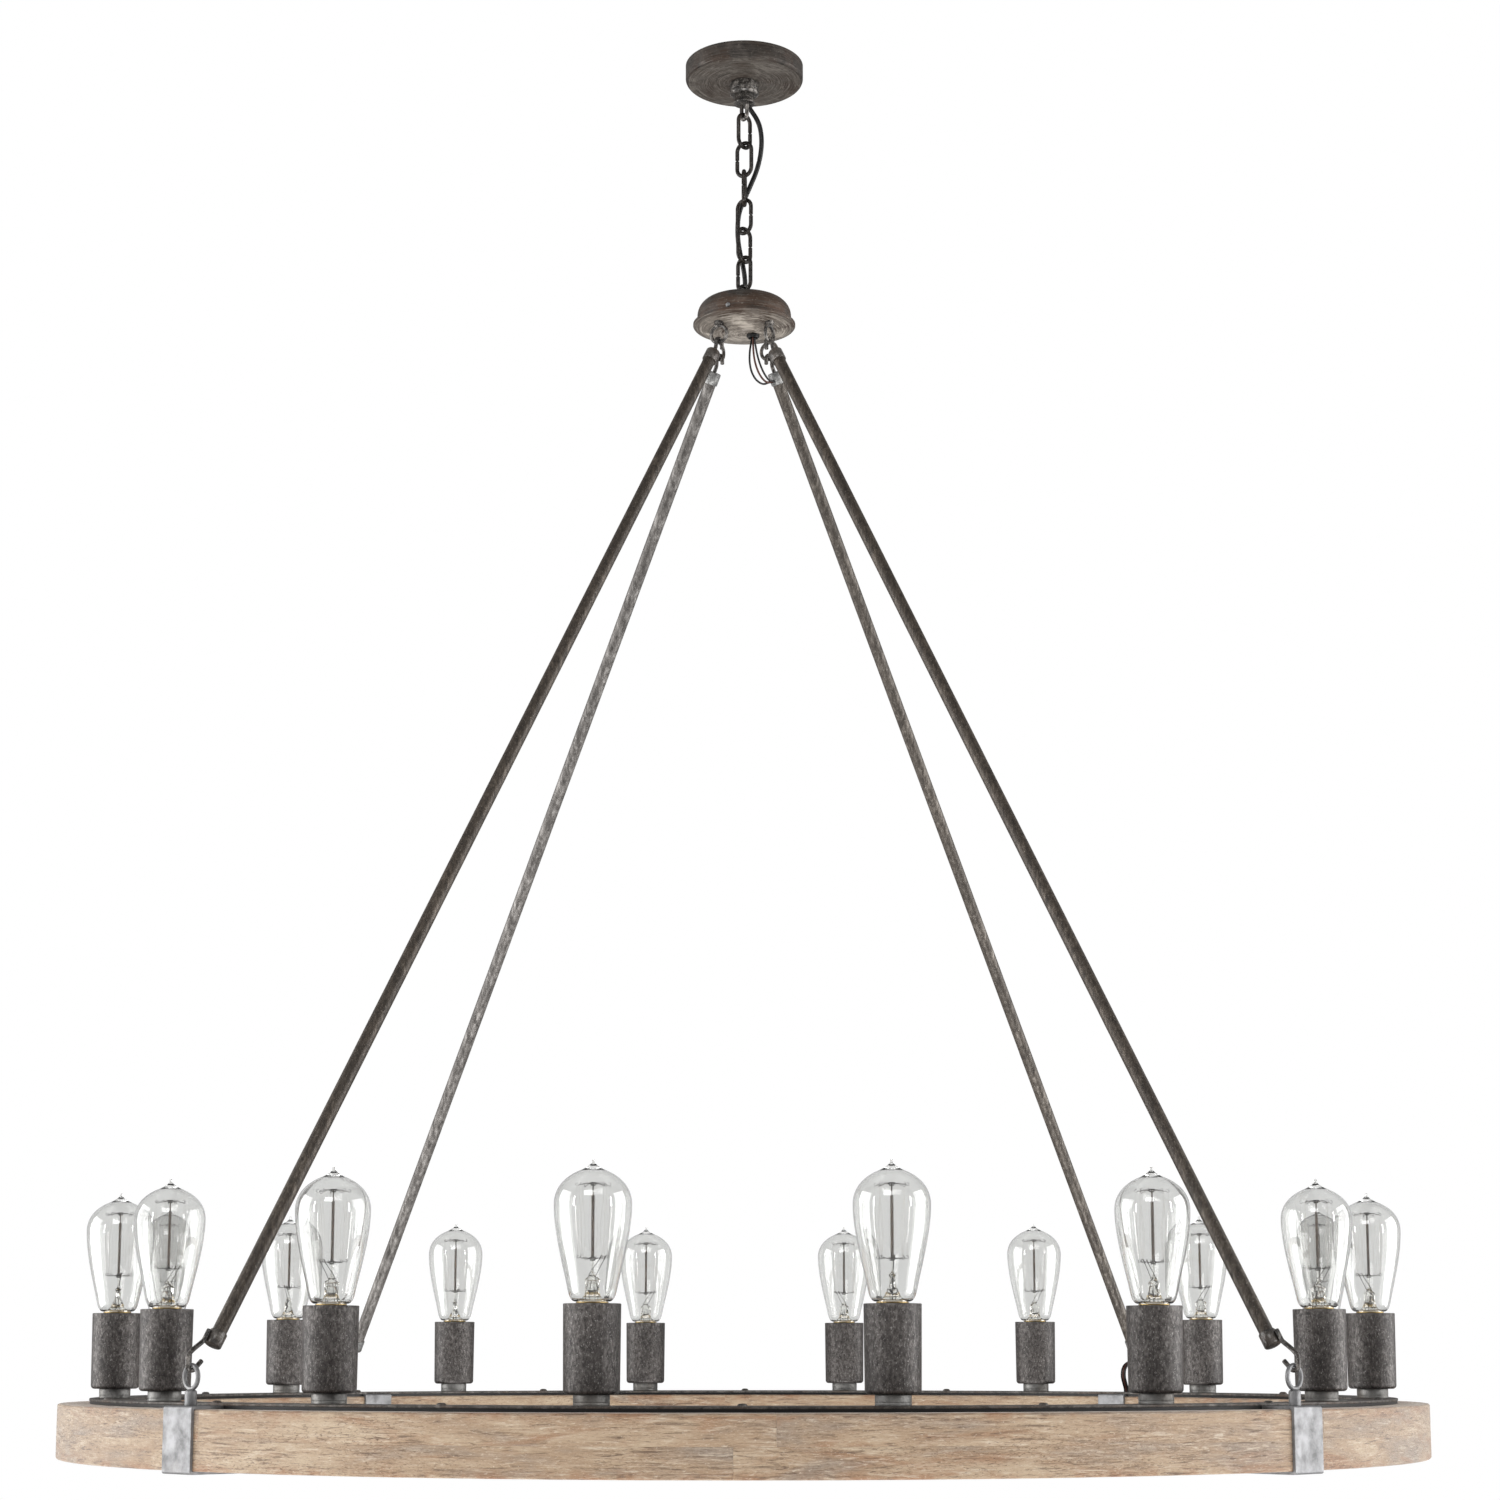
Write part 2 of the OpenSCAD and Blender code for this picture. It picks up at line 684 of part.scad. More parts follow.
module rod(turn, fed) {
    color("dimgray") on_rod(turn) difference() {
        translate([0, 0, sleeve_end]) cylinder(r = rod_r, h = rod_l - 2 * sleeve_end);
        translate([0, 0, sleeve_end - 1])
            cylinder(r = rod_r - rod_wall, h = rod_l - 2 * sleeve_end + 2);
        if (fed) feed_hole();
    }
}

// Side hole by which the feed wires enter the back right rod
module feed_hole() {
    translate([0, 0, feed_hole_at]) rotate([0, 90, 0]) cylinder(r = feed_hole_r, h = 2 * rod_d);
}

module sleeve(bore) {
    difference() {
        rotate_extrude() polygon([
            [0, 0], [sleeve_r - 0.8, 0], [sleeve_r, 0.8], [sleeve_r, sleeve_l - 0.4],
            [sleeve_r - 0.4, sleeve_l], [0, sleeve_l]]);
        translate([0, 0, sleeve_end]) cylinder(r = rod_r + fit_gap / 2, h = sleeve_l);
        if (bore > 0) translate([0, 0, -1]) cylinder(r = bore, h = sleeve_end + 2);
    }
}

module rod_sleeves() {
    color("dimgray") for (turn = rod_turns) on_rod(turn) {
        difference() {
            sleeve(hook_r + fit_gap);
            if (turn == feed_turn) feed_hole();
        }
        translate([0, 0, rod_l]) mirror([0, 0, 1])
            sleeve(turn == feed_turn ? rod_r - rod_wall : 0);
    }
}

// A hook held captive in the sleeve's end, over the hub eye's ring
module upper_hooks() {
    eye = [hub_eye_r, hub_eye_z - hub_eye_ring_r];
    bend = upper_hook_bend;
    seat = rod_top + rod_dir * (sleeve_end + loose_gap);
    knee = rod_top - rod_dir * ((rod_top[0] - eye[0] - bend) / rod_dir[0]);
    route = concat([seat + rod_dir],
        bezier(knee + 4 * rod_dir, knee + rod_dir, knee + [0, 1], knee + [0, 4], 6),
        arc(eye, bend, 0, 180, 12), [eye - [bend, upper_hook_tip]]);
    color("dimgray") each_rod() {
        wire_run(seat, seat + rod_dir * hook_head_h, hook_head_r);
        tube_along([for (p = route) [p[0], 0, p[1]]], hook_r, 12, [0, 1, 0]);
    }
}

// A hook along the sleeve's outer side that curls up through the strap eye
module lower_hooks() {
    eye = [eye_r, strap_eye_z + strap_eye_ring_r];
    bend = lower_hook_bend;
    side = rod_out * (sleeve_r + hook_r + fit_gap / 2);
    start = rod_bottom - rod_dir * (sleeve_l - 3) + side;
    leave = rod_bottom + rod_dir + side;
    outer = eye + [bend, 0];
    swell = outer + [0, 2 * hook_wire];
    turn = 135;
    curl_end = eye + bend * [cos(turn), -sin(turn)];
    tip = curl_end + lower_hook_tip * [-sin(turn), -cos(turn)];
    route = concat([start, leave - 3 * rod_dir],
        bezier(leave - rod_dir, leave + 2 * rod_dir, swell + [-1, 4], swell - [0, 2], 8),
        arc(eye, bend, 0, -turn, 9), [tip]);
    color("dimgray") each_rod()
        tube_along([for (p = route) [p[0], 0, p[1]]], hook_r, 12, [0, 1, 0]);
}

// Ring

module strap_eyes() {
    color("silver") each_rod() translate([eye_r, 0, 0]) {
        translate([0, 0, strap_top - eye_stud_l]) cylinder(r = eye_stud_r, h = eye_stud_l);
        translate([0, 0, strap_top]) rotate_extrude() polygon([
            [0, 0], [eye_post_d / 2, 0], [eye_post_d / 2, eye_post_h - 1.5],
            [eye_post_d / 2 - 1.5, eye_post_h], [0, eye_post_h]]);
        translate([0, 0, strap_eye_z]) rotate([0, 90, 0])
            rotate_extrude() translate([strap_eye_ring_r, 0]) circle(r = strap_eye_wire / 2);
    }
}

// Rectangle of the strap's section, grown by g all round the timber
module timber_frame(g) {
    translate([ring_ri - g, ring_bottom - g]) square([ring_w + 2 * g, ring_h + 2 * g]);
}

module straps() {
    sweep = 2 * asin(strap_w / (2 * ring_ro));
    color("silver") each_rod() difference() {
        rotate([0, 0, -sweep / 2]) rotate_extrude(angle = sweep) difference() {
            timber_frame(strap_gap + strap_t);
            timber_frame(strap_gap);
        }
        translate([eye_r, 0, strap_top - strap_t - 1])
            cylinder(r = eye_stud_r + fit_gap, h = strap_t + 2);
        translate([band_screw_at, 0, strap_top - strap_t - 1])
            cylinder(r = screw_d / 2 + fit_gap, h = strap_t + 2);
        translate([wire_hole_at, 0, strap_top - strap_t - 1])
            cylinder(r = wire_hole_r, h = strap_t + 2);
    }
}

module timber_layer(bottom, top, first_turn, grooved) {
    step = 360 / ring_pieces;
    gap_turn = glue_gap / ring_ro * 180 / PI;
    e = ring_edge_r;
    upper_e = grooved ? e : 0.2;
    lower_e = grooved ? 0.2 : e;
    section = concat(
        arc([ring_ro - upper_e, top - upper_e], upper_e, 0, 90, 3),
        arc([ring_ri + upper_e, top - upper_e], upper_e, 90, 180, 3),
        arc([ring_ri + lower_e, bottom + lower_e], lower_e, 180, 270, 3),
        arc([ring_ro - lower_e, bottom + lower_e], lower_e, 270, 360, 3));
    difference() {
        for (i = [0:ring_pieces - 1]) rotate([0, 0, first_turn + step * i])
            rotate_extrude(angle = step - gap_turn, $fn = timber_facets) polygon(section);
        if (grooved) {
            translate([0, 0, top - groove_depth])
                tube(lamp_r + groove_w / 2, lamp_r - groove_w / 2, groove_depth + 1);
            for (i = [0:lamps - 1]) rotate([0, 0, lamp_step * i])
                translate([band_screw_at, 0, band_top - screw_l - 1])
                    cylinder(r = screw_d / 2 + fit_gap, h = screw_l + 2);
        }
        each_rod() translate([eye_r, 0, strap_top - eye_stud_l - 1])
            cylinder(r = eye_stud_r + fit_gap, h = eye_stud_l + 2);
    }
}

module wood_ring_upper() {
    color("burlywood") timber_layer(ring_mid, ring_top, upper_joint_turn, true);
}

module wood_ring_lower() {
    color("tan") timber_layer(ring_bottom, ring_mid - layer_seam, lower_joint_turn, false);
}

module metal_band() {
    color("dimgray") translate([0, 0, band_bottom]) difference() {
        tube(band_ro, band_ri, band_t);
        each_lamp() translate([0, 0, -1]) cylinder(r = nipple_r + fit_gap, h = band_t + 2);
        for (i = [0:lamps - 1]) rotate([0, 0, lamp_step * i])
            translate([band_screw_at, 0, -1]) cylinder(r = screw_d / 2 + fit_gap, h = band_t + 2);
        rotate([0, 0, feed_turn]) translate([wire_hole_at, 0, -1])
            cylinder(r = wire_hole_r, h = band_t + 2);
    }
}

module band_screws() {
    color("dimgray") for (i = [0:lamps - 1])
        rotate([0, 0, lamp_step * i]) translate([band_screw_at, 0, 0]) {
            translate([0, 0, band_top - screw_l]) cylinder(r = screw_d / 2, h = screw_l);
            translate([0, 0, band_top]) rotate_extrude() polygon(concat(
                [[0, 0]],
                [[screw_head_d / 2, 0], [screw_head_d / 2, screw_head_h / 3]],
                arc([screw_head_d / 2 - screw_head_h / 1.5, screw_head_h / 3],
                    screw_head_h / 1.5, 0, 90, 4),
                [[0, screw_head_h]]));
        }
}

// Two wires round the groove, and the two leads of each socket
module ring_wires() {
    color("black") {
        for (side = [-1, 1]) translate([0, 0, bus_z]) rotate_extrude()
            translate([lamp_r + side * bus_side, 0]) circle(r = bus_r);
        each_lamp() for (side = [-1, 1]) translate([side * bus_side, 0, bus_z])
            cylinder(r = lead_r, h = holder_bottom + nipple_up + 1 - bus_z);
    }
}

// Sockets

module socket_necks() {
    color("dimgray") each_lamp() translate([0, 0, band_top]) rotate_extrude() polygon([
        [nipple_r + fit_gap, 0], [neck_d / 2, 0], [neck_d / 2, neck_h],
        [nipple_r + fit_gap, neck_h]]);
}

module socket_cups() {
    r = cup_d / 2;
    foot = cup_foot_d / 2;
    bend = cup_foot_r;
    inner_bend = bend - cup_wall;
    color("dimgray") each_lamp() translate([0, 0, neck_top]) rotate_extrude() polygon(concat(
        [[nipple_r + fit_gap, 0]],
        arc([foot - bend, bend], bend, -90, 0, 5),
        [[r, cup_h - 0.4], [r - 0.4, cup_h], [r - cup_wall, cup_h]],
        arc([foot - bend, bend + cup_floor - cup_wall], inner_bend, 0, -90, 5),
        [[nipple_r + fit_gap, cup_floor]]));
}

module socket_nipples() {
    bottom = band_bottom - nipple_down;
    color("silver") each_lamp() translate([0, 0, bottom])
        tube(nipple_r, nipple_bore_r, holder_bottom + nipple_up - bottom);
}

module socket_nuts() {
    color("silver") each_lamp() {
        translate([0, 0, band_bottom - thin_nut_h])
            hex_nut(locknut_r, thin_nut_h, nipple_r + fit_gap);
        translate([0, 0, neck_top + cup_floor])
            hex_nut(locknut_r, thin_nut_h, nipple_r + fit_gap);
    }
}

module lampholders() {
    color("black") each_lamp() difference() {
        translate([0, 0, holder_bottom]) rotate_extrude() polygon([
            [0, 0], [holder_d / 2 - 3, 0], [holder_d / 2, 5], [holder_d / 2, holder_h - 1],
            [holder_d / 2 - 1, holder_h], [0, holder_h]]);
        translate([0, 0, holder_floor]) cylinder(r = holder_bore_r, h = holder_bore_l + 1);
        translate([0, 0, holder_bottom - 1])
            cylinder(r = nipple_r + fit_gap, h = nipple_up + 1 + fit_gap);
        translate([0, 0, holder_bottom + nipple_up - 1]) cylinder(r = nipple_bore_r, h = 4);
    }
}

// The screw shell and the centre contact of each lampholder
module socket_contacts() {
    contact_l = cup_top + cap_bottom_h - tip_l - lamp_gap - holder_floor;
    color("gold") each_lamp() {
        translate([0, 0, holder_top - 1 - shell_l]) tube(shell_r + shell_wall, shell_r, shell_l);
        translate([0, 0, holder_floor]) cylinder(r = tip_r, h = contact_l);
    }
}

// Lamps

// Outline of the glass, from its neck to the drawn-out tip
function glass_outline() =
    let (h = glass_h, r = glass_d / 2)
    concat(
        bezier([neck_r, cap_top_h + fit_gap], [neck_r + 2.6, 4], [18.6, 5.5], [20.2, 11.5], 4),
        bezier([20.2, 11.5], [23, 26], [r, 0.48 * h], [r, 0.685 * h], 9),
        bezier([r, 0.685 * h], [r, 0.83 * h], [18.5, 0.88 * h], [8.8, 0.927 * h], 9),
        bezier([8.8, 0.927 * h], [4, 0.95 * h], [1.5, 0.965 * h], [1.2, h], 4));

function glass_inside() =
    let (outline = glass_outline(), top = 0.93 * glass_h)
    [for (p = outline) if (p[1] < top)
        [p[0] - glass_wall, p[1] - glass_wall * pow(p[1] / top, 8) + glass_wall]];

module bulb(k) {
    color("lightcyan") rotate([0, 0, lamp_turn + lamp_step * (k - 1)])
        translate([lamp_r, 0, cup_top]) {
            lamp_glass();
            lamp_cap();
            lamp_mount();
        }
}

module lamp_glass() {
    inside = glass_inside();
    last = inside[len(inside) - 1];
    rotate_extrude() difference() {
        polygon(concat([[0, cap_top_h + fit_gap]], glass_outline(), [[0, glass_h]]));
        polygon(concat([[0, cap_top_h + fit_gap + glass_wall]], inside, [[0, last[1]]]));
    }
}

module lamp_cap() {
    r = cap_d / 2;
    rotate_extrude() polygon([
        [0, cap_bottom_h - tip_l], [tip_r - 1.5, cap_bottom_h - tip_l],
        [tip_r, cap_bottom_h - tip_l + 1], [tip_r, cap_bottom_h - 1], [r - 2, cap_bottom_h],
        [r, cap_bottom_h + 3], [r, cap_top_h - 2], [r + 0.2, cap_top_h - 1.5],
        [r + 0.2, cap_top_h - 0.4], [r - 0.2, cap_top_h], [0, cap_top_h]]);
}

// Glass stem, centre rod, two wire spiders and the filament's upright strands
module lamp_mount() {
    base = cap_top_h + fit_gap + glass_wall + fit_gap;
    rod = 0.8;
    arm = 0.5;
    rotate_extrude() polygon([
        [0, base], [stem_r + 2, base], [stem_r - 1, base + 6], [stem_r - 1.6, stem_top_h],
        [rod, stem_top_h + 4], [rod, spider_high_h + 2], [0, spider_high_h + 2]]);
    for (i = [0:filament_count - 1]) rotate([0, 0, 360 * i / filament_count]) {
        translate([0, 0, spider_low_h]) rotate([0, 90, 0]) cylinder(r = arm, h = spider_low_r);
        translate([0, 0, spider_high_h]) rotate([0, 90, 0]) cylinder(r = arm, h = spider_high_r);
        lean = atan2(spider_high_r - spider_low_r, spider_high_h - spider_low_h);
        translate([spider_low_r - arm, 0, spider_low_h]) rotate([0, lean, 0])
            cylinder(r = filament_r, h = spider_high_h - spider_low_h);
    }
}

canopy();
crossbar();
ground_screw();
canopy_nipple();
canopy_locknut();
canopy_collar();
canopy_loop();
chain_link(1);  // chain_link_1
chain_link(2);  // chain_link_2
chain_link(3);  // chain_link_3
chain_link(4);  // chain_link_4
chain_link(5);  // chain_link_5
chain_link(6);  // chain_link_6
supply_cord();
hub_loop();
hub_cap();
hub_plate();
hub_nipple();
hub_bushings();
hub_screws();
hub_nuts();
hub_eyes();
wire_connectors();
rod_feed_wires();
rod(rod_turns[0], false);  // front_left_rod
rod(rod_turns[1], false);  // front_right_rod
rod(rod_turns[2], false);  // back_left_rod
rod(rod_turns[3], true);  // back_right_rod
rod_sleeves();
upper_hooks();
lower_hooks();
strap_eyes();
straps();
wood_ring_upper();
wood_ring_lower();
metal_band();
band_screws();
ring_wires();
socket_necks();
socket_cups();
socket_nipples();
socket_nuts();
lampholders();
socket_contacts();
bulb(1);  // bulb_01
bulb(2);  // bulb_02
bulb(3);  // bulb_03
bulb(4);  // bulb_04
bulb(5);  // bulb_05
bulb(6);  // bulb_06
bulb(7);  // bulb_07
bulb(8);  // bulb_08
bulb(9);  // bulb_09
bulb(10);  // bulb_10
bulb(11);  // bulb_11
bulb(12);  // bulb_12
bulb(13);  // bulb_13
bulb(14);  // bulb_14
bulb(15);  // bulb_15
bulb(16);  // bulb_16
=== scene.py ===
"""Looks of the ring chandelier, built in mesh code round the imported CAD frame.

Every class works in millimetres and hands its pieces over in metres, in the
frame's own place: the origin is the middle of the ceiling plane and +Z is up.
"""

from __future__ import annotations

import json
import logging
import math
import random
from collections.abc import Sequence
from dataclasses import dataclass, field
from enum import StrEnum

import bmesh
import bpy
from mathutils import Matrix, Vector, noise

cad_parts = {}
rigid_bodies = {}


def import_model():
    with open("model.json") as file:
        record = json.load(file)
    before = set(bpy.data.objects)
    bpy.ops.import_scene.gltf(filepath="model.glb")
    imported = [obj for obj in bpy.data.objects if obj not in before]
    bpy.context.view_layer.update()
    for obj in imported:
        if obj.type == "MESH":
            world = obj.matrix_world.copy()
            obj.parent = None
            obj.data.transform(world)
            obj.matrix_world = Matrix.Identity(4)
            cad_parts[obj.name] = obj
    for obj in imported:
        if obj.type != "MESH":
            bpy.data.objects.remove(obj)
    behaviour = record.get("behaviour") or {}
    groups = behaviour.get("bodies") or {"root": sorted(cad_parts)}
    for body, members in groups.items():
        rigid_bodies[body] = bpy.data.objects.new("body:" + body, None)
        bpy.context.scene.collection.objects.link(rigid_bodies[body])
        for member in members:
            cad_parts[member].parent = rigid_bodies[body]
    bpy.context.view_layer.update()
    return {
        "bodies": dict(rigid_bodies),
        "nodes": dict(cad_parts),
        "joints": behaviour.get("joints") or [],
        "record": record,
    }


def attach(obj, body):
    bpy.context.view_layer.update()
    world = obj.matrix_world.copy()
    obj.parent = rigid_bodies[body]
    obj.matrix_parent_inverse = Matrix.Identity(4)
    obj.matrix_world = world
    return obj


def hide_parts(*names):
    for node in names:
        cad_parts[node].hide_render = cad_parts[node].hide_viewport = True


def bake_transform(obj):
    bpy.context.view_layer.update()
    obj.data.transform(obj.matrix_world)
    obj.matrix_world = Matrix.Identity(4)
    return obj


LOG = logging.getLogger("ring_chandelier")
MM = 0.001
QUARTERS = (0.25, 0.5, 0.75)
Row = list[Vector]
Flat = tuple[float, float]
Spot = tuple[float, float, float]
Colour = tuple[float, float, float]
Socket = bpy.types.NodeSocket
Material = bpy.types.Material
Mesh = bpy.types.Mesh


class Body(StrEnum):
    """Rigid bodies of the frame that pieces ride on."""

    CANOPY = "canopy"
    HUB_LOOP = "hub_loop"
    FRAME = "frame"

    @staticmethod
    def link(number: int) -> str:
        """Name of one chain link's body."""
        return f"chain_link_{number}"

    @staticmethod
    def lamp(number: int) -> str:
        """Name of one lamp's body."""
        return f"bulb_{number:02d}"


class Slot(StrEnum):
    """Material slots of the record."""

    IRON = "aged_iron"
    ZINC = "zinc"
    CORD = "cord"
    PLASTIC = "black_plastic"
    OAK = "oak"
    GLASS = "lamp_glass"


# Curves


def arc(centre: Flat, radius: float, start: float, end: float, steps: int = 8) -> list[Flat]:
    """Points of a round stretch in a plane.

    Args:
        centre: Middle of the arc.
        radius: Its radius.
        start: First angle, in degrees.
        end: Last angle, in degrees.
        steps: Number of chords.

    Returns:
        The points from the first angle to the last.
    """
    angles = [math.radians(start + (end - start) * i / steps) for i in range(steps + 1)]
    return [(centre[0] + radius * math.cos(a), centre[1] + radius * math.sin(a)) for a in angles]


def bezier(a: Flat, b: Flat, c: Flat, d: Flat, steps: int = 8) -> list[Flat]:
    """Points of a cubic curve in a plane.

    Args:
        a: Start.
        b: Handle of the start.
        c: Handle of the end.
        d: End.
        steps: Number of chords.

    Returns:
        The points from start to end.
    """
    points = []
    for i in range(steps + 1):
        t = i / steps
        s = 1 - t
        w = (s * s * s, 3 * s * s * t, 3 * s * t * t, t * t * t)
        points.append(tuple(w[0] * a[k] + w[1] * b[k] + w[2] * c[k] + w[3] * d[k] for k in (0, 1)))
    return points


def rounded(corners: Sequence[Flat], radius: float, steps: int = 4) -> list[Flat]:
    """Eases every corner of a closed outline.

    Args:
        corners: The outline's corners in order.
        radius: Radius of the eased corners, cut down where a side is short.
        steps: Number of chords per corner.

    Returns:
        The eased outline.
    """
    points: list[Flat] = []
    count = len(corners)
    for i, corner in enumerate(corners):
        here = Vector(corner)
        back = Vector(corners[i - 1]) - here
        ahead = Vector(corners[(i + 1) % count]) - here
        reach = min(radius, 0.45 * back.length, 0.45 * ahead.length)
        first = here + back.normalized() * reach
        last = here + ahead.normalized() * reach
        for k in range(steps + 1):
            t = k / steps
            p = first.lerp(here, t).lerp(here.lerp(last, t), t)
            points.append((p.x, p.y))
    return points


def smooth_route(route: Sequence[Vector], per_span: int) -> Row:
    """Catmull-Rom curve through a route's points.

    Args:
        route: Points the curve passes through.
        per_span: Number of chords between two points.

    Returns:
        The finer route.
    """
    points: Row = []
    last = len(route) - 1
    for i in range(last):
        p0, p1 = route[max(i - 1, 0)], route[i]
        p2, p3 = route[i + 1], route[min(i + 2, last)]
        for k in range(per_span):
            t = k / per_span
            points.append(0.5 * (2 * p1 + (p2 - p0) * t + (2 * p0 - 5 * p1 + 4 * p2 - p3) * t * t
                                 + (3 * p1 - p0 - 3 * p2 + p3) * t * t * t))
    points.append(route[last].copy())
    return points


def in_plane(points: Sequence[Flat], turn: float = 0.0) -> Row:
    """Stands points of radius and height up in the plane at one azimuth."""
    c, s = math.cos(math.radians(turn)), math.sin(math.radians(turn))
    return [Vector((r * c, r * s, z)) for r, z in points]


def polar(radius: float, angle: float, height: float) -> Vector:
    """Point at a radius, an azimuth in radians and a height."""
    return Vector((radius * math.cos(angle), radius * math.sin(angle), height))


def circle(radius: float, sides: int, height: float = 0.0) -> Row:
    """Points of a level circle round the Z axis."""
    return [polar(radius, 2 * math.pi * k / sides, height) for k in range(sides)]


def upright_circle(radius: float, sides: int) -> Row:
    """Points of an upright circle round the X axis."""
    return [Vector((0, p.x, p.y)) for p in circle(radius, sides)]


# Meshes


class Shape:
    """A mesh in the making, in millimetres, with a UV in metres at each face corner."""

    END_WIDTH = 0.8
    END_DEPTH = 0.2
    MERGE = 1e-7
    POLE = 1e-6

    def __init__(self) -> None:
        """Starts an empty mesh."""
        self.points: Row = []
        self.faces: list[tuple[int, ...]] = []
        self.uvs: list[list[Flat]] = []
        self.tones: list[float] = []

    def add_rows(self, rows: Sequence[Row], closed_rows: bool = False, tone: float = 0.0) -> Shape:
        """Skins rows of points that close on themselves. A row of one point is a pole.

        Args:
            rows: The rows of points.
            closed_rows: Whether the last row joins the first.
            tone: Number kept with each face, for the finish to vary by.

        Returns:
            The shape itself.
        """
        width = max(len(row) for row in rows)
        index = []
        for row in rows:
            start = len(self.points)
            self.points.extend(row)
            index.append([start + (k if len(row) > 1 else 0) for k in range(width)])
        along = [0.0]
        for a, b in zip(rows, rows[1:] + rows[:1]):
            along.append(along[-1] + (a[0] - b[0]).length)
        full = [row for row in rows if len(row) == width]
        widest = max(full, key=lambda row: (row[0] - row[width // 2]).length)
        around = [0.0]
        for a, b in zip(widest, widest[1:] + widest[:1]):
            around.append(around[-1] + (a - b).length)
        for i in range(len(rows) if closed_rows else len(rows) - 1):
            for j in range(width):
                n, m = (i + 1) % len(rows), (j + 1) % width
                corners = [(index[i][j], i, j), (index[i][m], i, j + 1),
                           (index[n][m], i + 1, j + 1), (index[n][j], i + 1, j)]
                if len(rows[i]) == 1:
                    del corners[1]
                elif len(rows[n]) == 1:
                    del corners[3]
                self.faces.append(tuple(c[0] for c in corners))
                self.uvs.append([(around[c[2]] * MM, along[c[1]] * MM) for c in corners])
                self.tones.append(tone)
        return self

    def add_cap(self, row: Row, tone: float = 0.0) -> Shape:
        """Closes a row of points with one flat face.

        Args:
            row: The points round the face.
            tone: Number kept with the face, for the finish to vary by.

        Returns:
            The shape itself.
        """
        start = len(self.points)
        self.points.extend(row)
        self.faces.append(tuple(range(start, start + len(row))))
        self.uvs.append([(p.x * MM, p.y * MM) for p in row])
        self.tones.append(tone)
        return self

    def lathe(self, profile: Sequence[Flat], sides: int, closed: bool = False) -> Shape:
        """Turns a profile of radius and height round the Z axis.

        Args:
            profile: The profile's points.
            sides: Number of sides round the axis.
            closed: Whether the profile is a closed outline.

        Returns:
            The shape itself.
        """
        rows = [circle(r, sides if r >= self.POLE else 1, z) for r, z in profile]
        return self.add_rows(rows, closed_rows=closed)

    def sweep(self, path: Sequence[Vector], radius: float, sides: int, closed: bool = False) -> Shape:
        """Runs a round section along a path and rounds off its ends.

        Args:
            path: The centre line.
            radius: The section's radius.
            sides: Number of sides of the section.
            closed: Whether the path closes on itself.

        Returns:
            The shape itself.
        """
        last = len(path) - 1
        rows: list[Row] = []
        side: Vector | None = None
        for i, p in enumerate(path):
            before = path[i - 1] if (i or closed) else path[0]
            after = path[(i + 1) % len(path)] if (i < last or closed) else path[last]
            way = (after - before).normalized()
            side = way.orthogonal() if side is None else side - way * side.dot(way)
            side.normalize()
            other = way.cross(side)
            ring = [radius * (math.cos(a) * side + math.sin(a) * other)
                    for a in (2 * math.pi * k / sides for k in range(sides))]
            end = [[p + self.END_WIDTH * v for v in ring], [p.copy()]]
            if i == 0 and not closed:
                rows += [*reversed(end), [p + v + way * self.END_DEPTH * radius for v in ring]]
            elif i == last and not closed:
                rows += [[p + v - way * self.END_DEPTH * radius for v in ring], *end]
            else:
                rows.append([p + v for v in ring])
        return self.add_rows(rows, closed_rows=closed)

    def moved(self, matrix: Matrix) -> Shape:
        """Places every point by a matrix in millimetres and returns the shape."""
        self.points = [matrix @ p for p in self.points]
        return self

    def joined(self, other: Shape) -> Shape:
        """Adds another shape's faces.

        Args:
            other: The shape to add.

        Returns:
            The shape itself.
        """
        start = len(self.points)
        self.points.extend(p.copy() for p in other.points)
        self.faces.extend(tuple(v + start for v in f) for f in other.faces)
        self.uvs.extend(other.uvs)
        self.tones.extend(other.tones)
        return self

    def mesh(self, name: str, sharp: float = 35.0) -> Mesh:
        """Makes the Blender mesh, in metres, with its faces outwards.

        Args:
            name: The mesh's name.
            sharp: Angle in degrees past which an edge stays sharp.

        Returns:
            The mesh.
        """
        mesh = bpy.data.meshes.new(name)
        mesh.from_pydata([p * MM for p in self.points], [], self.faces)
        layer = mesh.uv_layers.new(name="UVMap")
        layer.data.foreach_set("uv", [v for face in self.uvs for uv in face for v in uv])
        tone = mesh.attributes.new("tone", "FLOAT", "FACE")
        tone.data.foreach_set("value", self.tones)
        work = bmesh.new()
        work.from_mesh(mesh)
        bmesh.ops.remove_doubles(work, verts=work.verts, dist=self.MERGE)
        bmesh.ops.recalc_face_normals(work, faces=work.faces)
        work.to_mesh(mesh)
        work.free()
        mesh.shade_smooth()
        mesh.set_sharp_from_angle(angle=math.radians(sharp))
        return mesh


def add_piece(mesh: Mesh, material: Material) -> bpy.types.Object:
    """Puts a finished mesh in the scene.

    Args:
        mesh: The mesh, in the frame's place.
        material: Its finish.

    Returns:
        The piece, riding on nothing yet.
    """
    piece = bpy.data.objects.new(mesh.name, mesh)
    bpy.context.scene.collection.objects.link(piece)
    mesh.materials.clear()
    mesh.materials.append(material)
    LOG.info("%s: %d faces", mesh.name, len(mesh.polygons))
    return piece


def place(mesh: Mesh, material: Material, body: str, replaces: Sequence[str] = ()) -> None:
    """Puts a finished mesh in the scene as a piece of one body.

    Args:
        mesh: The mesh, in the frame's place.
        material: Its finish.
        body: The body it rides on.
        replaces: CAD nodes that it stands for.
    """
    piece = add_piece(mesh, material)
    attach(piece, str(body))
    if replaces:
        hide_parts(*replaces)


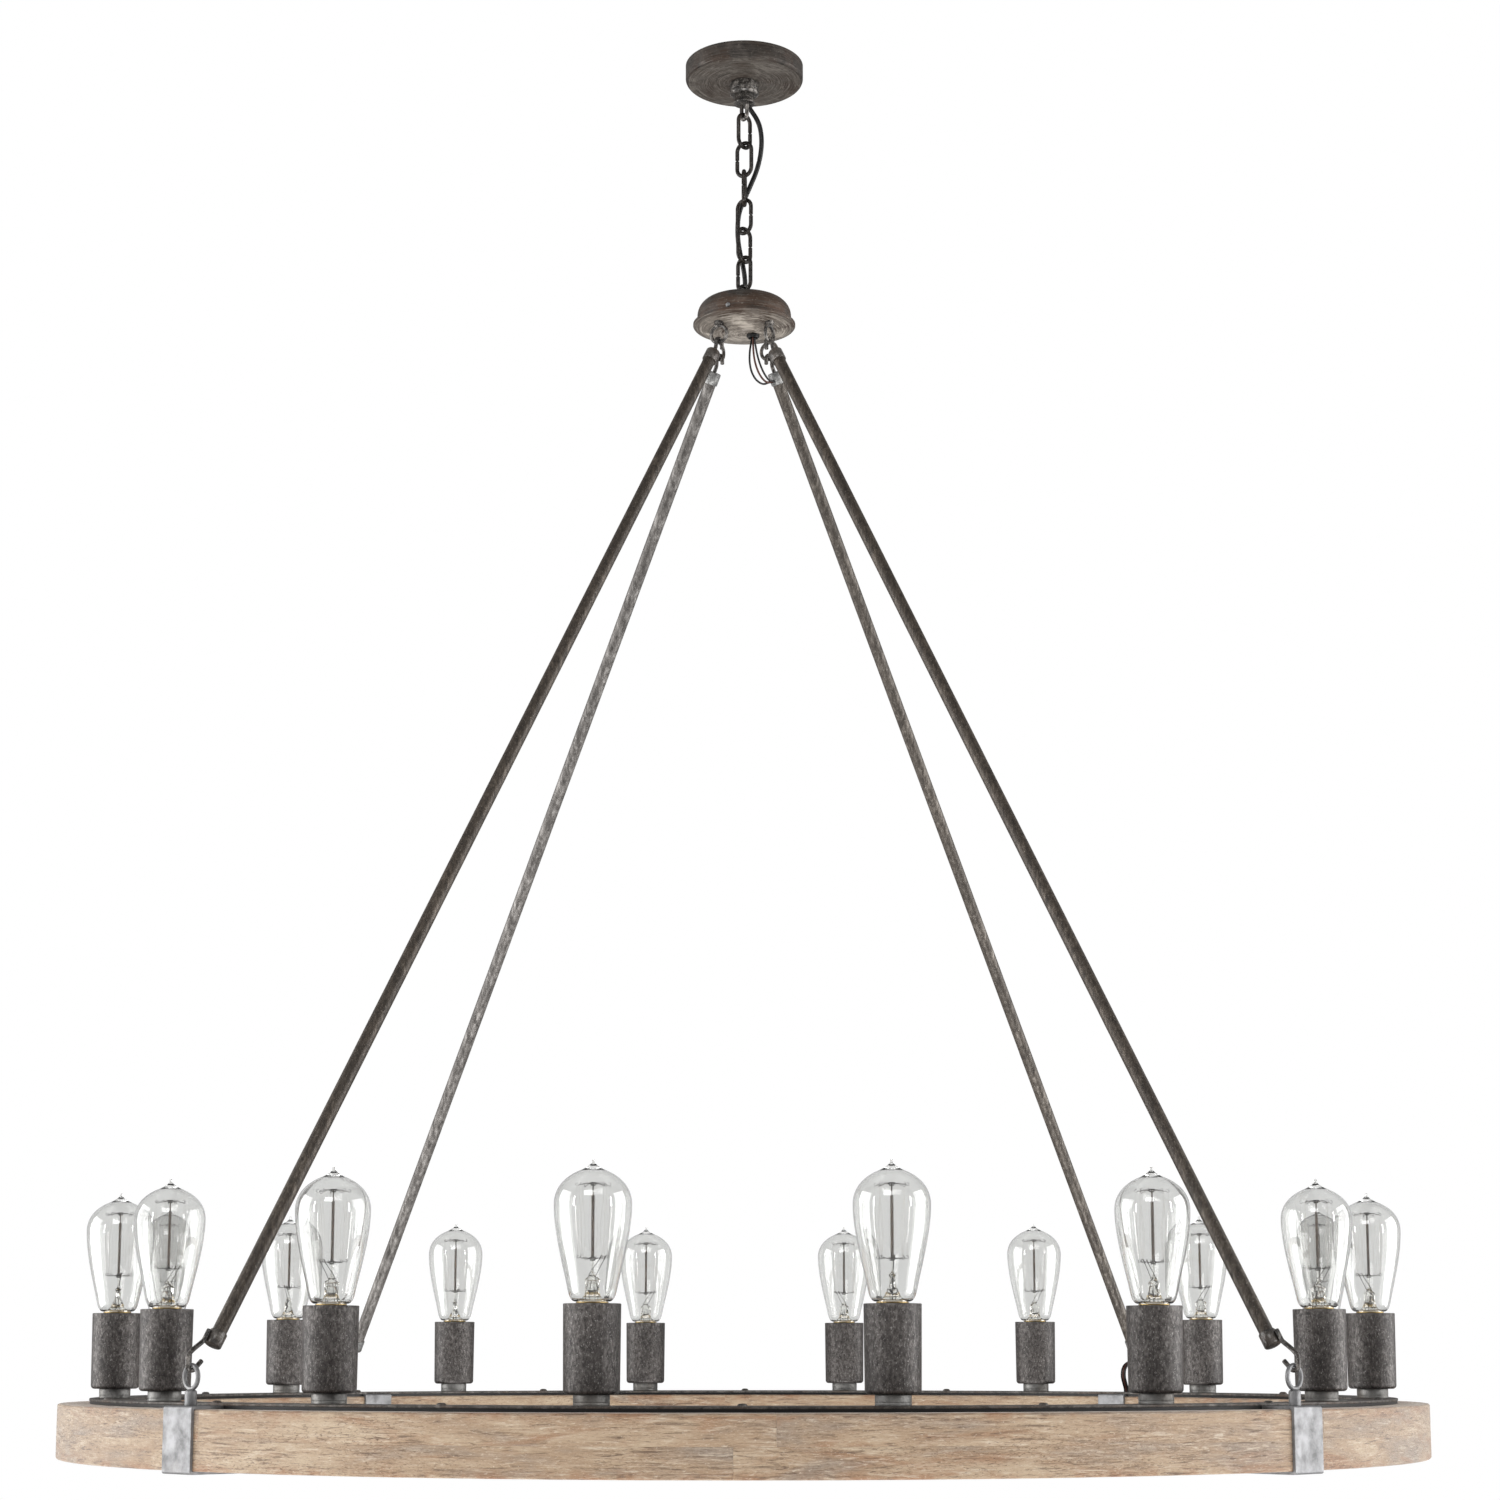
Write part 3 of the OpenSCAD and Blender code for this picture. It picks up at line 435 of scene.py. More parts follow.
class RingPattern:
    """Geometry Nodes tree that sets copies of a template round the Z axis."""

    INPUTS = (("Template", "NodeSocketObject"), ("Finish", "NodeSocketMaterial"),
              ("Count", "NodeSocketInt"), ("Radius", "NodeSocketFloat"),
              ("First Turn", "NodeSocketFloat"), ("Spin", "NodeSocketFloat"))
    SEED = 7

    def __init__(self) -> None:
        """Builds the tree once."""
        self.tree = bpy.data.node_groups.new("copies_round_axis", "GeometryNodeTree")
        self.ids: dict[str, str] = {}
        for name, kind in self.INPUTS:
            socket = self.tree.interface.new_socket(name, in_out="INPUT", socket_type=kind)
            self.ids[name] = socket.identifier
        self.tree.interface.new_socket("Geometry", in_out="OUTPUT", socket_type="NodeSocketGeometry")
        self._wire()

    def _wire(self) -> None:
        """Adds and links the tree's nodes."""
        nodes, links = self.tree.nodes, self.tree.links

        def math_node(operation: str, a: object, b: object) -> Socket:
            """Adds a Math node.

            Args:
                operation: What it does.
                a: First socket or number.
                b: Second socket or number, or None.

            Returns:
                The node's output.
            """
            node = nodes.new("ShaderNodeMath")
            node.operation = operation
            for socket, value in zip(node.inputs, (a, b)):
                if isinstance(value, (int, float)):
                    socket.default_value = value
                elif value is not None:
                    links.new(value, socket)
            return node.outputs[0]

        given = nodes.new("NodeGroupInput").outputs
        points = nodes.new("GeometryNodePoints")
        links.new(given["Count"], points.inputs["Count"])
        index = nodes.new("GeometryNodeInputIndex").outputs[0]
        step = math_node("DIVIDE", 2 * math.pi, given["Count"])
        turn = math_node("ADD", math_node("MULTIPLY", index, step), given["First Turn"])
        spot = nodes.new("ShaderNodeCombineXYZ")
        links.new(math_node("MULTIPLY", given["Radius"], math_node("COSINE", turn, None)), spot.inputs[0])
        links.new(math_node("MULTIPLY", given["Radius"], math_node("SINE", turn, None)), spot.inputs[1])
        links.new(spot.outputs[0], points.inputs["Position"])
        draw = nodes.new("FunctionNodeRandomValue")
        draw.data_type = "FLOAT"
        draw.inputs["Seed"].default_value = self.SEED
        scalars = [s for s in draw.outputs if s.type == "VALUE" and s.enabled]
        facing = nodes.new("ShaderNodeCombineXYZ")
        spun = math_node("MULTIPLY", scalars[0], given["Spin"])
        links.new(math_node("ADD", turn, spun), facing.inputs[2])
        template = nodes.new("GeometryNodeObjectInfo")
        links.new(given["Template"], template.inputs[0])
        copies = nodes.new("GeometryNodeInstanceOnPoints")
        links.new(points.outputs[0], copies.inputs["Points"])
        links.new(template.outputs["Geometry"], copies.inputs["Instance"])
        links.new(facing.outputs[0], copies.inputs["Rotation"])
        real = nodes.new("GeometryNodeRealizeInstances")
        links.new(copies.outputs[0], real.inputs[0])
        finish = nodes.new("GeometryNodeSetMaterial")
        links.new(real.outputs[0], finish.inputs["Geometry"])
        links.new(given["Finish"], finish.inputs["Material"])
        links.new(finish.outputs[0], nodes.new("NodeGroupOutput").inputs[0])

    def mesh(self, template: Mesh, finish: Material, count: int,
             radius: float = 0.0, first_turn: float = 0.0, spin: float = 0.0) -> Mesh:
        """Evaluates the tree once and keeps its plain mesh.

        Args:
            template: Mesh to copy, in metres, with its own X axis pointing outwards.
            finish: Material of the copies.
            count: Number of copies round the axis.
            radius: Distance of the copies from the axis, in millimetres.
            first_turn: Azimuth of the first copy, in degrees.
            spin: Largest random turn of a copy about itself, in degrees.

        Returns:
            One mesh with every copy.
        """
        name = template.name
        source = bpy.data.objects.new(name + "_template", template)
        bpy.context.scene.collection.objects.link(source)
        holder = bpy.data.objects.new(name + "_copies", bpy.data.meshes.new(name + "_empty"))
        bpy.context.scene.collection.objects.link(holder)
        modifier = holder.modifiers.new("copies", "NODES")
        modifier.node_group = self.tree
        for key, value in (("Template", source), ("Finish", finish), ("Count", count),
                           ("Radius", radius * MM), ("First Turn", math.radians(first_turn)),
                           ("Spin", math.radians(spin))):
            modifier[self.ids[key]] = value
        graph = bpy.context.evaluated_depsgraph_get()
        made = bpy.data.meshes.new_from_object(holder.evaluated_get(graph), depsgraph=graph)
        holder.modifiers.remove(modifier)
        bpy.data.objects.remove(holder)
        bpy.data.objects.remove(source)
        template.name = name + "_source"
        made.name = name
        return made


# Finishes


class Shader:
    """A material's node tree while it is being wired."""

    def __init__(self, name: str) -> None:
        """Starts a material with one Principled shader.

        Args:
            name: Name of the material.
        """
        self.material = bpy.data.materials.new(name)
        self.material.use_nodes = True
        self.nodes = self.material.node_tree.nodes
        self.links = self.material.node_tree.links
        self.nodes.clear()
        self.surface = self.nodes.new("ShaderNodeBsdfPrincipled")
        output = self.nodes.new("ShaderNodeOutputMaterial")
        self.links.new(self.surface.outputs[0], output.inputs["Surface"])
        self.coords = self.nodes.new("ShaderNodeTexCoord")

    def put(self, socket: Socket, value: object) -> None:
        """Links a socket or writes a plain value into one.

        Args:
            socket: The input.
            value: A socket or a plain value.
        """
        if isinstance(value, Socket):
            self.links.new(value, socket)
        else:
            socket.default_value = value

    def set(self, **values: object) -> None:
        """Sets the Principled shader's inputs; an underscore stands for a space."""
        for key, value in values.items():
            self.put(self.surface.inputs[key.replace("_", " ")], value)

    def stretched(self, source: str | Socket, scale: Spot, turn: float = 0.0) -> Socket:
        """Coordinates stretched by a factor on each axis.

        Args:
            source: Output of the Texture Coordinate node, or other coordinates.
            scale: Factor on each axis.
            turn: Turn about Z, in degrees.

        Returns:
            The stretched coordinates.
        """
        node = self.nodes.new("ShaderNodeMapping")
        vector = self.coords.outputs[source] if isinstance(source, str) else source
        self.links.new(vector, node.inputs["Vector"])
        node.inputs["Scale"].default_value = scale
        node.inputs["Rotation"].default_value = (0.0, 0.0, math.radians(turn))
        return node.outputs[0]

    def noise(self, scale: float, detail: float = 3.0, roughness: float = 0.5,
              vector: Socket | None = None, distortion: float = 0.0) -> Socket:
        """Noise over object coordinates, or over the vector given.

        Args:
            scale: Noise scale.
            detail: Number of octaves.
            roughness: Strength of the finer octaves.
            vector: Coordinates to read.
            distortion: How far the pattern is bent.

        Returns:
            The noise's value.
        """
        node = self.nodes.new("ShaderNodeTexNoise")
        source = self.coords.outputs["Object"] if vector is None else vector
        self.links.new(source, node.inputs["Vector"])
        for name, value in (("Scale", scale), ("Detail", detail), ("Roughness", roughness),
                            ("Distortion", distortion)):
            node.inputs[name].default_value = value
        return node.outputs["Fac"]

    def ramp(self, value: Socket, stops: Sequence[tuple[float, float | Colour]]) -> Socket:
        """Colour ramp. A stop is a position with a grey level or a colour.

        Args:
            value: The value to look up.
            stops: Positions with their grey or colour.

        Returns:
            The ramp's colour.
        """
        node = self.nodes.new("ShaderNodeValToRGB")
        self.links.new(value, node.inputs[0])
        points = node.color_ramp.elements
        while len(points) < len(stops):
            points.new(0.5)
        for point, (at, tint) in zip(points, stops):
            point.position = at
            grey = isinstance(tint, (int, float))
            point.color = (tint, tint, tint, 1.0) if grey else (*tint, 1.0)
        return node.outputs["Color"]

    def mix(self, factor: Socket, a: Socket | Colour, b: Socket | Colour) -> Socket:
        """Mixes two colours.

        Args:
            factor: Share of the second colour.
            a: First colour.
            b: Second colour.

        Returns:
            The mixed colour.
        """
        node = self.nodes.new("ShaderNodeMix")
        node.data_type = "RGBA"
        inputs = [s for s in node.inputs if s.enabled]
        for socket, value in zip(inputs, (factor, a, b)):
            self.put(socket, (*value, 1.0) if isinstance(value, tuple) else value)
        return [s for s in node.outputs if s.enabled][0]

    def over(self, tone: Socket, colour: Socket | Colour, pattern: Socket, low: Flat, high: Flat) -> Socket:
        """Lays a colour over a tone where a pattern says.

        Args:
            tone: The colour beneath.
            colour: The colour laid over it.
            pattern: Pattern that spreads it.
            low: A level of the pattern and the colour's share there.
            high: A higher level and the colour's share there.

        Returns:
            The new tone.
        """
        return self.mix(self.ramp(pattern, [low, high]), tone, colour)

    def math(self, operation: str, a: Socket | float, b: Socket | float = 0.0) -> Socket:
        """Adds a Math node.

        Args:
            operation: What it does.
            a: First socket or number.
            b: Second socket or number.

        Returns:
            The node's output.
        """
        node = self.nodes.new("ShaderNodeMath")
        node.operation = operation
        self.put(node.inputs[0], a)
        self.put(node.inputs[1], b)
        return node.outputs[0]

    def object_axis(self, axis: int) -> Socket:
        """Reads one object coordinate in metres.

        Args:
            axis: 0 is across, 1 backwards and 2 up.

        Returns:
            The coordinate.
        """
        parts = self.nodes.new("ShaderNodeSeparateXYZ")
        self.links.new(self.coords.outputs["Object"], parts.inputs[0])
        return parts.outputs[axis]

    def bump(self, height: Socket, depth: float, strength: float,
             under: Socket | None = None) -> Socket:
        """Bump of a real depth in millimetres.

        Args:
            height: The height pattern, 0 to 1.
            depth: Height of a full step, in millimetres.
            strength: Strength of the bump.
            under: Normal that it adds to.

        Returns:
            The bumped normal.
        """
        node = self.nodes.new("ShaderNodeBump")
        self.links.new(height, node.inputs["Height"])
        node.inputs["Distance"].default_value = depth * MM
        node.inputs["Strength"].default_value = strength
        if under is not None:
            self.links.new(under, node.inputs["Normal"])
        return node.outputs[0]


@dataclass(frozen=True)
class Finish:
    """A named finish that wires its own material."""

    name: str

    def wire(self, s: Shader) -> None:
        """Wires the finish.

        Args:
            s: The shader to wire.
        """
        raise NotImplementedError

    def material(self) -> Material:
        """Makes the finish's material.

        Returns:
            The new material.
        """
        s = Shader(self.name)
        self.wire(s)
        return s.material


@dataclass(frozen=True)
class AgedIron(Finish):
    """Dark cast or drawn iron, mottled brown and grey, with pale flecks that are partly painted glints, and
    paler tones behind the middle that are painted light.
    """

    dark: Colour
    mid: Colour
    light: Colour
    rust: Colour
    flecks: float
    grain_depth: float
    fleck: Colour = (0.36, 0.34, 0.32)
    bare: tuple[Colour, Colour] = ((0.1, 0.1, 0.1), (0.3, 0.3, 0.29))
    scale: float = 1.0
    oil: float = 0.0
    silver: float = 0.0
    gloss: float = 0.5

    def wire(self, s: Shader) -> None:
        """Wires the finish.

        Args:
            s: The shader to wire.
        """
        cloud = s.noise(26 * self.scale, 4, 0.6)
        blotch = s.noise(110 * self.scale, 6, 0.68, distortion=0.4)
        grit = s.noise(620 * self.scale, 4, 0.7)
        tone = s.ramp(blotch, [(0.36, self.dark), (0.5, self.mid), (0.66, self.light)])
        tone = s.over(tone, self.rust, cloud, (0.48, 0.0), (0.66, 0.6))
        # Pale flecks: partly real flecks of the iron, partly painted glints.
        fleck = s.ramp(grit, [(0.56, 0.0), (0.68, 1.0)])
        tone = s.mix(s.math("MULTIPLY", fleck, self.flecks), tone, self.fleck)
        # Painted light: pieces behind the middle take paler tones.
        if self.silver:
            far_side_painted_share = s.ramp(s.object_axis(1), [(0.0, 0.0), (0.01, self.silver)])
            tone = s.mix(far_side_painted_share, tone, s.ramp(blotch, [(0.36, self.bare[0]), (0.62, self.bare[1])]))
        s.set(Base_Color=tone, Metallic=0.45, Roughness=s.ramp(blotch, [(0.3, 0.62), (0.7, 0.42)]))
        s.set(Coat_Weight=self.oil, Coat_Roughness=0.16, Specular_IOR_Level=self.gloss)
        deep = s.bump(blotch, self.grain_depth * 1.6, 0.5)
        s.set(Normal=s.bump(grit, self.grain_depth, 0.7, deep))


@dataclass(frozen=True)
class StreakedIron(Finish):
    """Dark iron with upright streaks and pale pinpricks, as on the cups and rods."""

    dark: Colour
    mid: Colour
    light: Colour
    prick: Colour
    pricks: float
    streak: float
    fineness: float
    speck: float = 0.55

    def wire(self, s: Shader) -> None:
        """Wires the finish.

        Args:
            s: The shader to wire.
        """
        drawn = s.stretched("Object", (1.0, 1.0, self.streak))
        streaks = s.noise(self.fineness * 0.4, 5, 0.7, drawn, 0.3)
        cloud = s.noise(55, 3, 0.55, drawn)
        grit = s.noise(self.fineness, 3, 0.6, s.stretched("Object", (1.0, 1.0, self.speck)))
        tone = s.ramp(streaks, [(0.36, self.dark), (0.52, self.mid), (0.72, self.light)])
        tone = s.over(tone, self.dark, cloud, (0.42, 0.0), (0.64, 0.5))
        share = s.math("MULTIPLY", s.ramp(grit, [(0.6, 0.0), (0.7, 1.0)]), self.pricks)
        tone = s.mix(share, tone, self.prick)
        s.set(Base_Color=tone, Metallic=0.35, Roughness=s.ramp(streaks, [(0.3, 0.6), (0.7, 0.4)]))
        s.set(Normal=s.bump(grit, 0.14, 0.6, s.bump(streaks, 0.2, 0.6)))


@dataclass(frozen=True)
class BrushedIron(Finish):
    """Dark iron with fine rings left by turning, as on the canopy and the hub, paler under a given level:
    painted light from below on the undersides.
    """

    dark: Colour
    light: Colour
    brushed_below: float
    rust: Colour = (0.065, 0.036, 0.022)
    pale: Colour = (0.36, 0.33, 0.29)
    brushed: Colour = (0.2, 0.172, 0.146)
    cream: Colour = (0.58, 0.52, 0.45)
    brown: Colour = (0.06, 0.042, 0.032)
    fade: float = 0.0008

    def wire(self, s: Shader) -> None:
        """Wires the finish.

        Args:
            s: The shader to wire.
        """
        rings = s.noise(1.0, 5, 0.65, s.stretched("UV", (14.0, 560.0, 1.0)), 0.3)
        scratches = s.noise(1.0, 3, 0.6, s.stretched("UV", (45.0, 1200.0, 1.0)))
        cloud = s.noise(60, 6, 0.68, distortion=0.8)
        grit = s.noise(420, 4, 0.65)
        tone = s.ramp(cloud, [(0.36, self.dark), (0.64, self.light)])
        broad = s.noise(30, 6, 0.66, distortion=0.6)
        tone = s.over(tone, self.rust, broad, (0.44, 0.0), (0.58, 0.8))
        tone = s.over(tone, self.light, rings, (0.46, 0.0), (0.62, 0.75))
        tone = s.over(tone, self.dark, rings, (0.32, 0.6), (0.42, 0.0))
        tone = s.over(tone, self.pale, scratches, (0.6, 0.0), (0.7, 0.4))
        tone = s.over(tone, self.pale, grit, (0.6, 0.0), (0.72, 0.35))
        # Painted light: under this level the undersides take the paler tones of light from below.
        depth = s.math("SUBTRACT", self.brushed_below, s.object_axis(2))
        painted_lit_share = s.ramp(depth, [(0.0, 0.0), (self.fade, 1.0)])
        tone = s.mix(painted_lit_share, tone, self._underside(s, rings, scratches, broad))
        s.set(Base_Color=tone, Metallic=0.45, Roughness=s.ramp(cloud, [(0.3, 0.6), (0.7, 0.4)]))
        s.set(Specular_IOR_Level=0.3)
        s.set(Normal=s.bump(grit, 0.15, 0.6, s.bump(rings, 0.25, 0.6)))

    def _underside(self, s: Shader, rings: Socket, scratches: Socket, broad: Socket) -> Socket:
        """Paler brushed metal of the undersides, its paleness painted light from below.

        Args:
            s: The finish's shader.
            rings: Pattern of the turned rings.
            scratches: Pattern of the fine scratches.
            broad: Pattern of the wide patches.

        Returns:
            Its colour.
        """
        tone = s.ramp(broad, [(0.36, self.cream), (0.45, self.brushed), (0.54, self.brushed),
                              (0.62, self.brown)])
        tone = s.over(tone, self.brown, rings, (0.36, 0.85), (0.48, 0.0))
        tone = s.over(tone, self.cream, rings, (0.54, 0.0), (0.64, 0.7))
        return s.over(tone, self.cream, scratches, (0.55, 0.0), (0.64, 0.9))


@dataclass(frozen=True)
class WornZinc(Finish):
    """Weathered galvanised steel with pale crystals and dull patches."""

    dark: Colour
    light: Colour
    stain: Colour
    crystal: float

    def wire(self, s: Shader) -> None:
        """Wires the finish.

        Args:
            s: The shader to wire.
        """
        cells = s.nodes.new("ShaderNodeTexVoronoi")
        s.links.new(s.coords.outputs["Object"], cells.inputs["Vector"])
        cells.inputs["Scale"].default_value = self.crystal
        shade = s.nodes.new("ShaderNodeRGBToBW")
        s.links.new(cells.outputs["Color"], shade.inputs[0])
        cloud = s.noise(60, 5, 0.65)
        grit = s.noise(800, 3, 0.6)
        tone = s.ramp(cloud, [(0.36, self.dark), (0.62, self.light)])
        tone = s.over(tone, self.light, shade.outputs[0], (0.3, 0.0), (0.8, 0.35))
        tone = s.over(tone, self.stain, s.noise(24, 4), (0.52, 0.0), (0.7, 0.6))
        s.set(Base_Color=tone, Metallic=0.6, Roughness=s.ramp(cloud, [(0.3, 0.6), (0.7, 0.4)]))
        s.set(Normal=s.bump(grit, 0.1, 0.6, s.bump(cloud, 0.3, 0.4)))


@dataclass(frozen=True)
class LimedTimber(Finish):
    """Open-grained timber rubbed with pale wax, its levels in metres. The grain runs along each board."""

    tan: Colour = (0.29, 0.2, 0.125)
    pale: Colour = (0.385, 0.295, 0.2)
    grey: Colour = (0.225, 0.173, 0.13)
    brown: Colour = (0.235, 0.115, 0.054)
    dark: Colour = (0.085, 0.048, 0.029)
    wax: Colour = (0.52, 0.45, 0.36)
    top: float = -1.4389
    bottom: float = -1.4909
    edge: float = 0.009

    def wire(self, s: Shader) -> None:
        """Wires the finish.

        Args:
            s: The shader to wire.
        """
        board = self._board(s)

        def grained(along: float, across: float, detail: float, roughness: float, bend: float = 0.0,
                    turn: float = 0.0) -> Socket:
            """Noise at its own scale along and across the boards, bent and turned."""
            return s.noise(1.0, detail, roughness, s.stretched(board, (along, across, 1.0), turn), bend)

        ground = grained(7.0, 30.0, 5, 0.6, 0.6)
        tone = s.ramp(ground, [(0.34, self.grey), (0.5, self.tan), (0.66, self.pale)])
        warm = grained(9.0, 40.0, 4, 0.6, 1.2, turn=4.0)
        tone = s.over(tone, self.brown, warm, (0.53, 0.0), (0.68, 0.7))
        tone = s.mix(self._edges(s), tone, self.brown)
        figure = grained(6.0, 12.0, 2, 0.5)
        straight = grained(34.0, 430.0, 5, 0.72, 0.7)
        slanted = grained(40.0, 400.0, 5, 0.72, 1.0, turn=12.0)
        grain = s.mix(s.ramp(figure, [(0.44, 0.0), (0.56, 1.0)]), straight, slanted)
        tone = s.over(tone, self.dark, grain, (0.53, 0.0), (0.64, 0.85))
        tone = s.over(tone, self.wax, grain, (0.34, 0.6), (0.46, 0.0))
        pores = grained(230.0, 760.0, 4, 0.75, 0.7)
        share = s.math("MULTIPLY", s.ramp(pores, [(0.54, 0.0), (0.66, 0.9)]),
                       s.ramp(grained(5.0, 16.0, 2, 0.5), [(0.4, 0.25), (0.6, 1.0)]))
        tone = s.mix(share, tone, self.dark)
        tone = s.over(tone, self.wax, pores, (0.32, 0.6), (0.42, 0.0))
        s.set(Base_Color=tone, Roughness=s.ramp(pores, [(0.3, 0.62), (0.7, 0.85)]))
        s.set(Sheen_Weight=0.3, Sheen_Roughness=0.45)
        s.set(Normal=s.bump(pores, -0.35, 0.8, s.bump(grain, -0.5, 0.7)))

    def _board(self, s: Shader) -> Socket:
        """Coordinates along each board, shifted by the board's own tone.

        Args:
            s: The shader.

        Returns:
            The shifted coordinates.
        """
        tone = s.nodes.new("ShaderNodeAttribute")
        tone.attribute_name = "tone"
        shift = s.nodes.new("ShaderNodeCombineXYZ")
        for k, far in enumerate((11.0, 3.0, 5.0)):
            s.links.new(s.math("MULTIPLY", tone.outputs["Fac"], far), shift.inputs[k])
        moved = s.nodes.new("ShaderNodeVectorMath")
        moved.operation = "ADD"
        s.links.new(s.coords.outputs["UV"], moved.inputs[0])
        s.links.new(shift.outputs[0], moved.inputs[1])
        return moved.outputs[0]

    def _edges(self, s: Shader) -> Socket:
        """Share of darker brown near the ring's upper and lower edges.

        Args:
            s: The shader.

        Returns:
            The share.
        """
        height = s.object_axis(2)
        near_top = s.math("SUBTRACT", height, self.top - self.edge)
        near_bottom = s.math("SUBTRACT", self.bottom + self.edge, height)
        near = s.math("DIVIDE", s.math("MAXIMUM", near_top, near_bottom), self.edge)
        patch = s.ramp(s.noise(24, 4, 0.6), [(0.48, 0.0), (0.62, 0.9)])
        return s.math("MULTIPLY", s.math("MAXIMUM", near, 0.0), patch)


@dataclass(frozen=True)
class LampGlass(Finish):
    """Clear thin glass with a faint tint; the lamps' grey tint is painted shade for dark reflections."""

    tint: Colour
    roughness: float

    def wire(self, s: Shader) -> None:
        """Wires the finish.

        Args:
            s: The shader to wire.
        """
        haze = s.noise(40, 3, 0.5)
        s.set(Base_Color=(*self.tint, 1.0), IOR=1.5, Transmission_Weight=1.0)
        s.set(Roughness=s.ramp(haze, [(0.4, self.roughness), (0.75, 2.5 * self.roughness)]))
        s.set(Normal=s.bump(s.noise(28, 2, 0.4), 0.4, 0.25))


@dataclass(frozen=True)
class Plain(Finish):
    """A moulded, plated or drawn finish with fine grain and slow changes of tone."""

    base: Colour
    low: Colour
    metallic: float = 0.0
    roughness: float = 0.5
    grain: float = 500.0
    depth: float = 0.05
    gloss: float = 0.5

    def wire(self, s: Shader) -> None:
        """Wires the finish.

        Args:
            s: The shader to wire.
        """
        cloud = s.noise(self.grain / 8, 4, 0.6)
        grit = s.noise(self.grain, 3, 0.6)
        tone = s.ramp(cloud, [(0.35, self.low), (0.65, self.base)])
        rough = s.ramp(grit, [(0.3, self.roughness * 0.85), (0.7, min(1.0, self.roughness * 1.15))])
        s.set(Base_Color=tone, Metallic=self.metallic, Roughness=rough, Specular_IOR_Level=self.gloss)
        s.set(Normal=s.bump(grit, self.depth, 0.6))


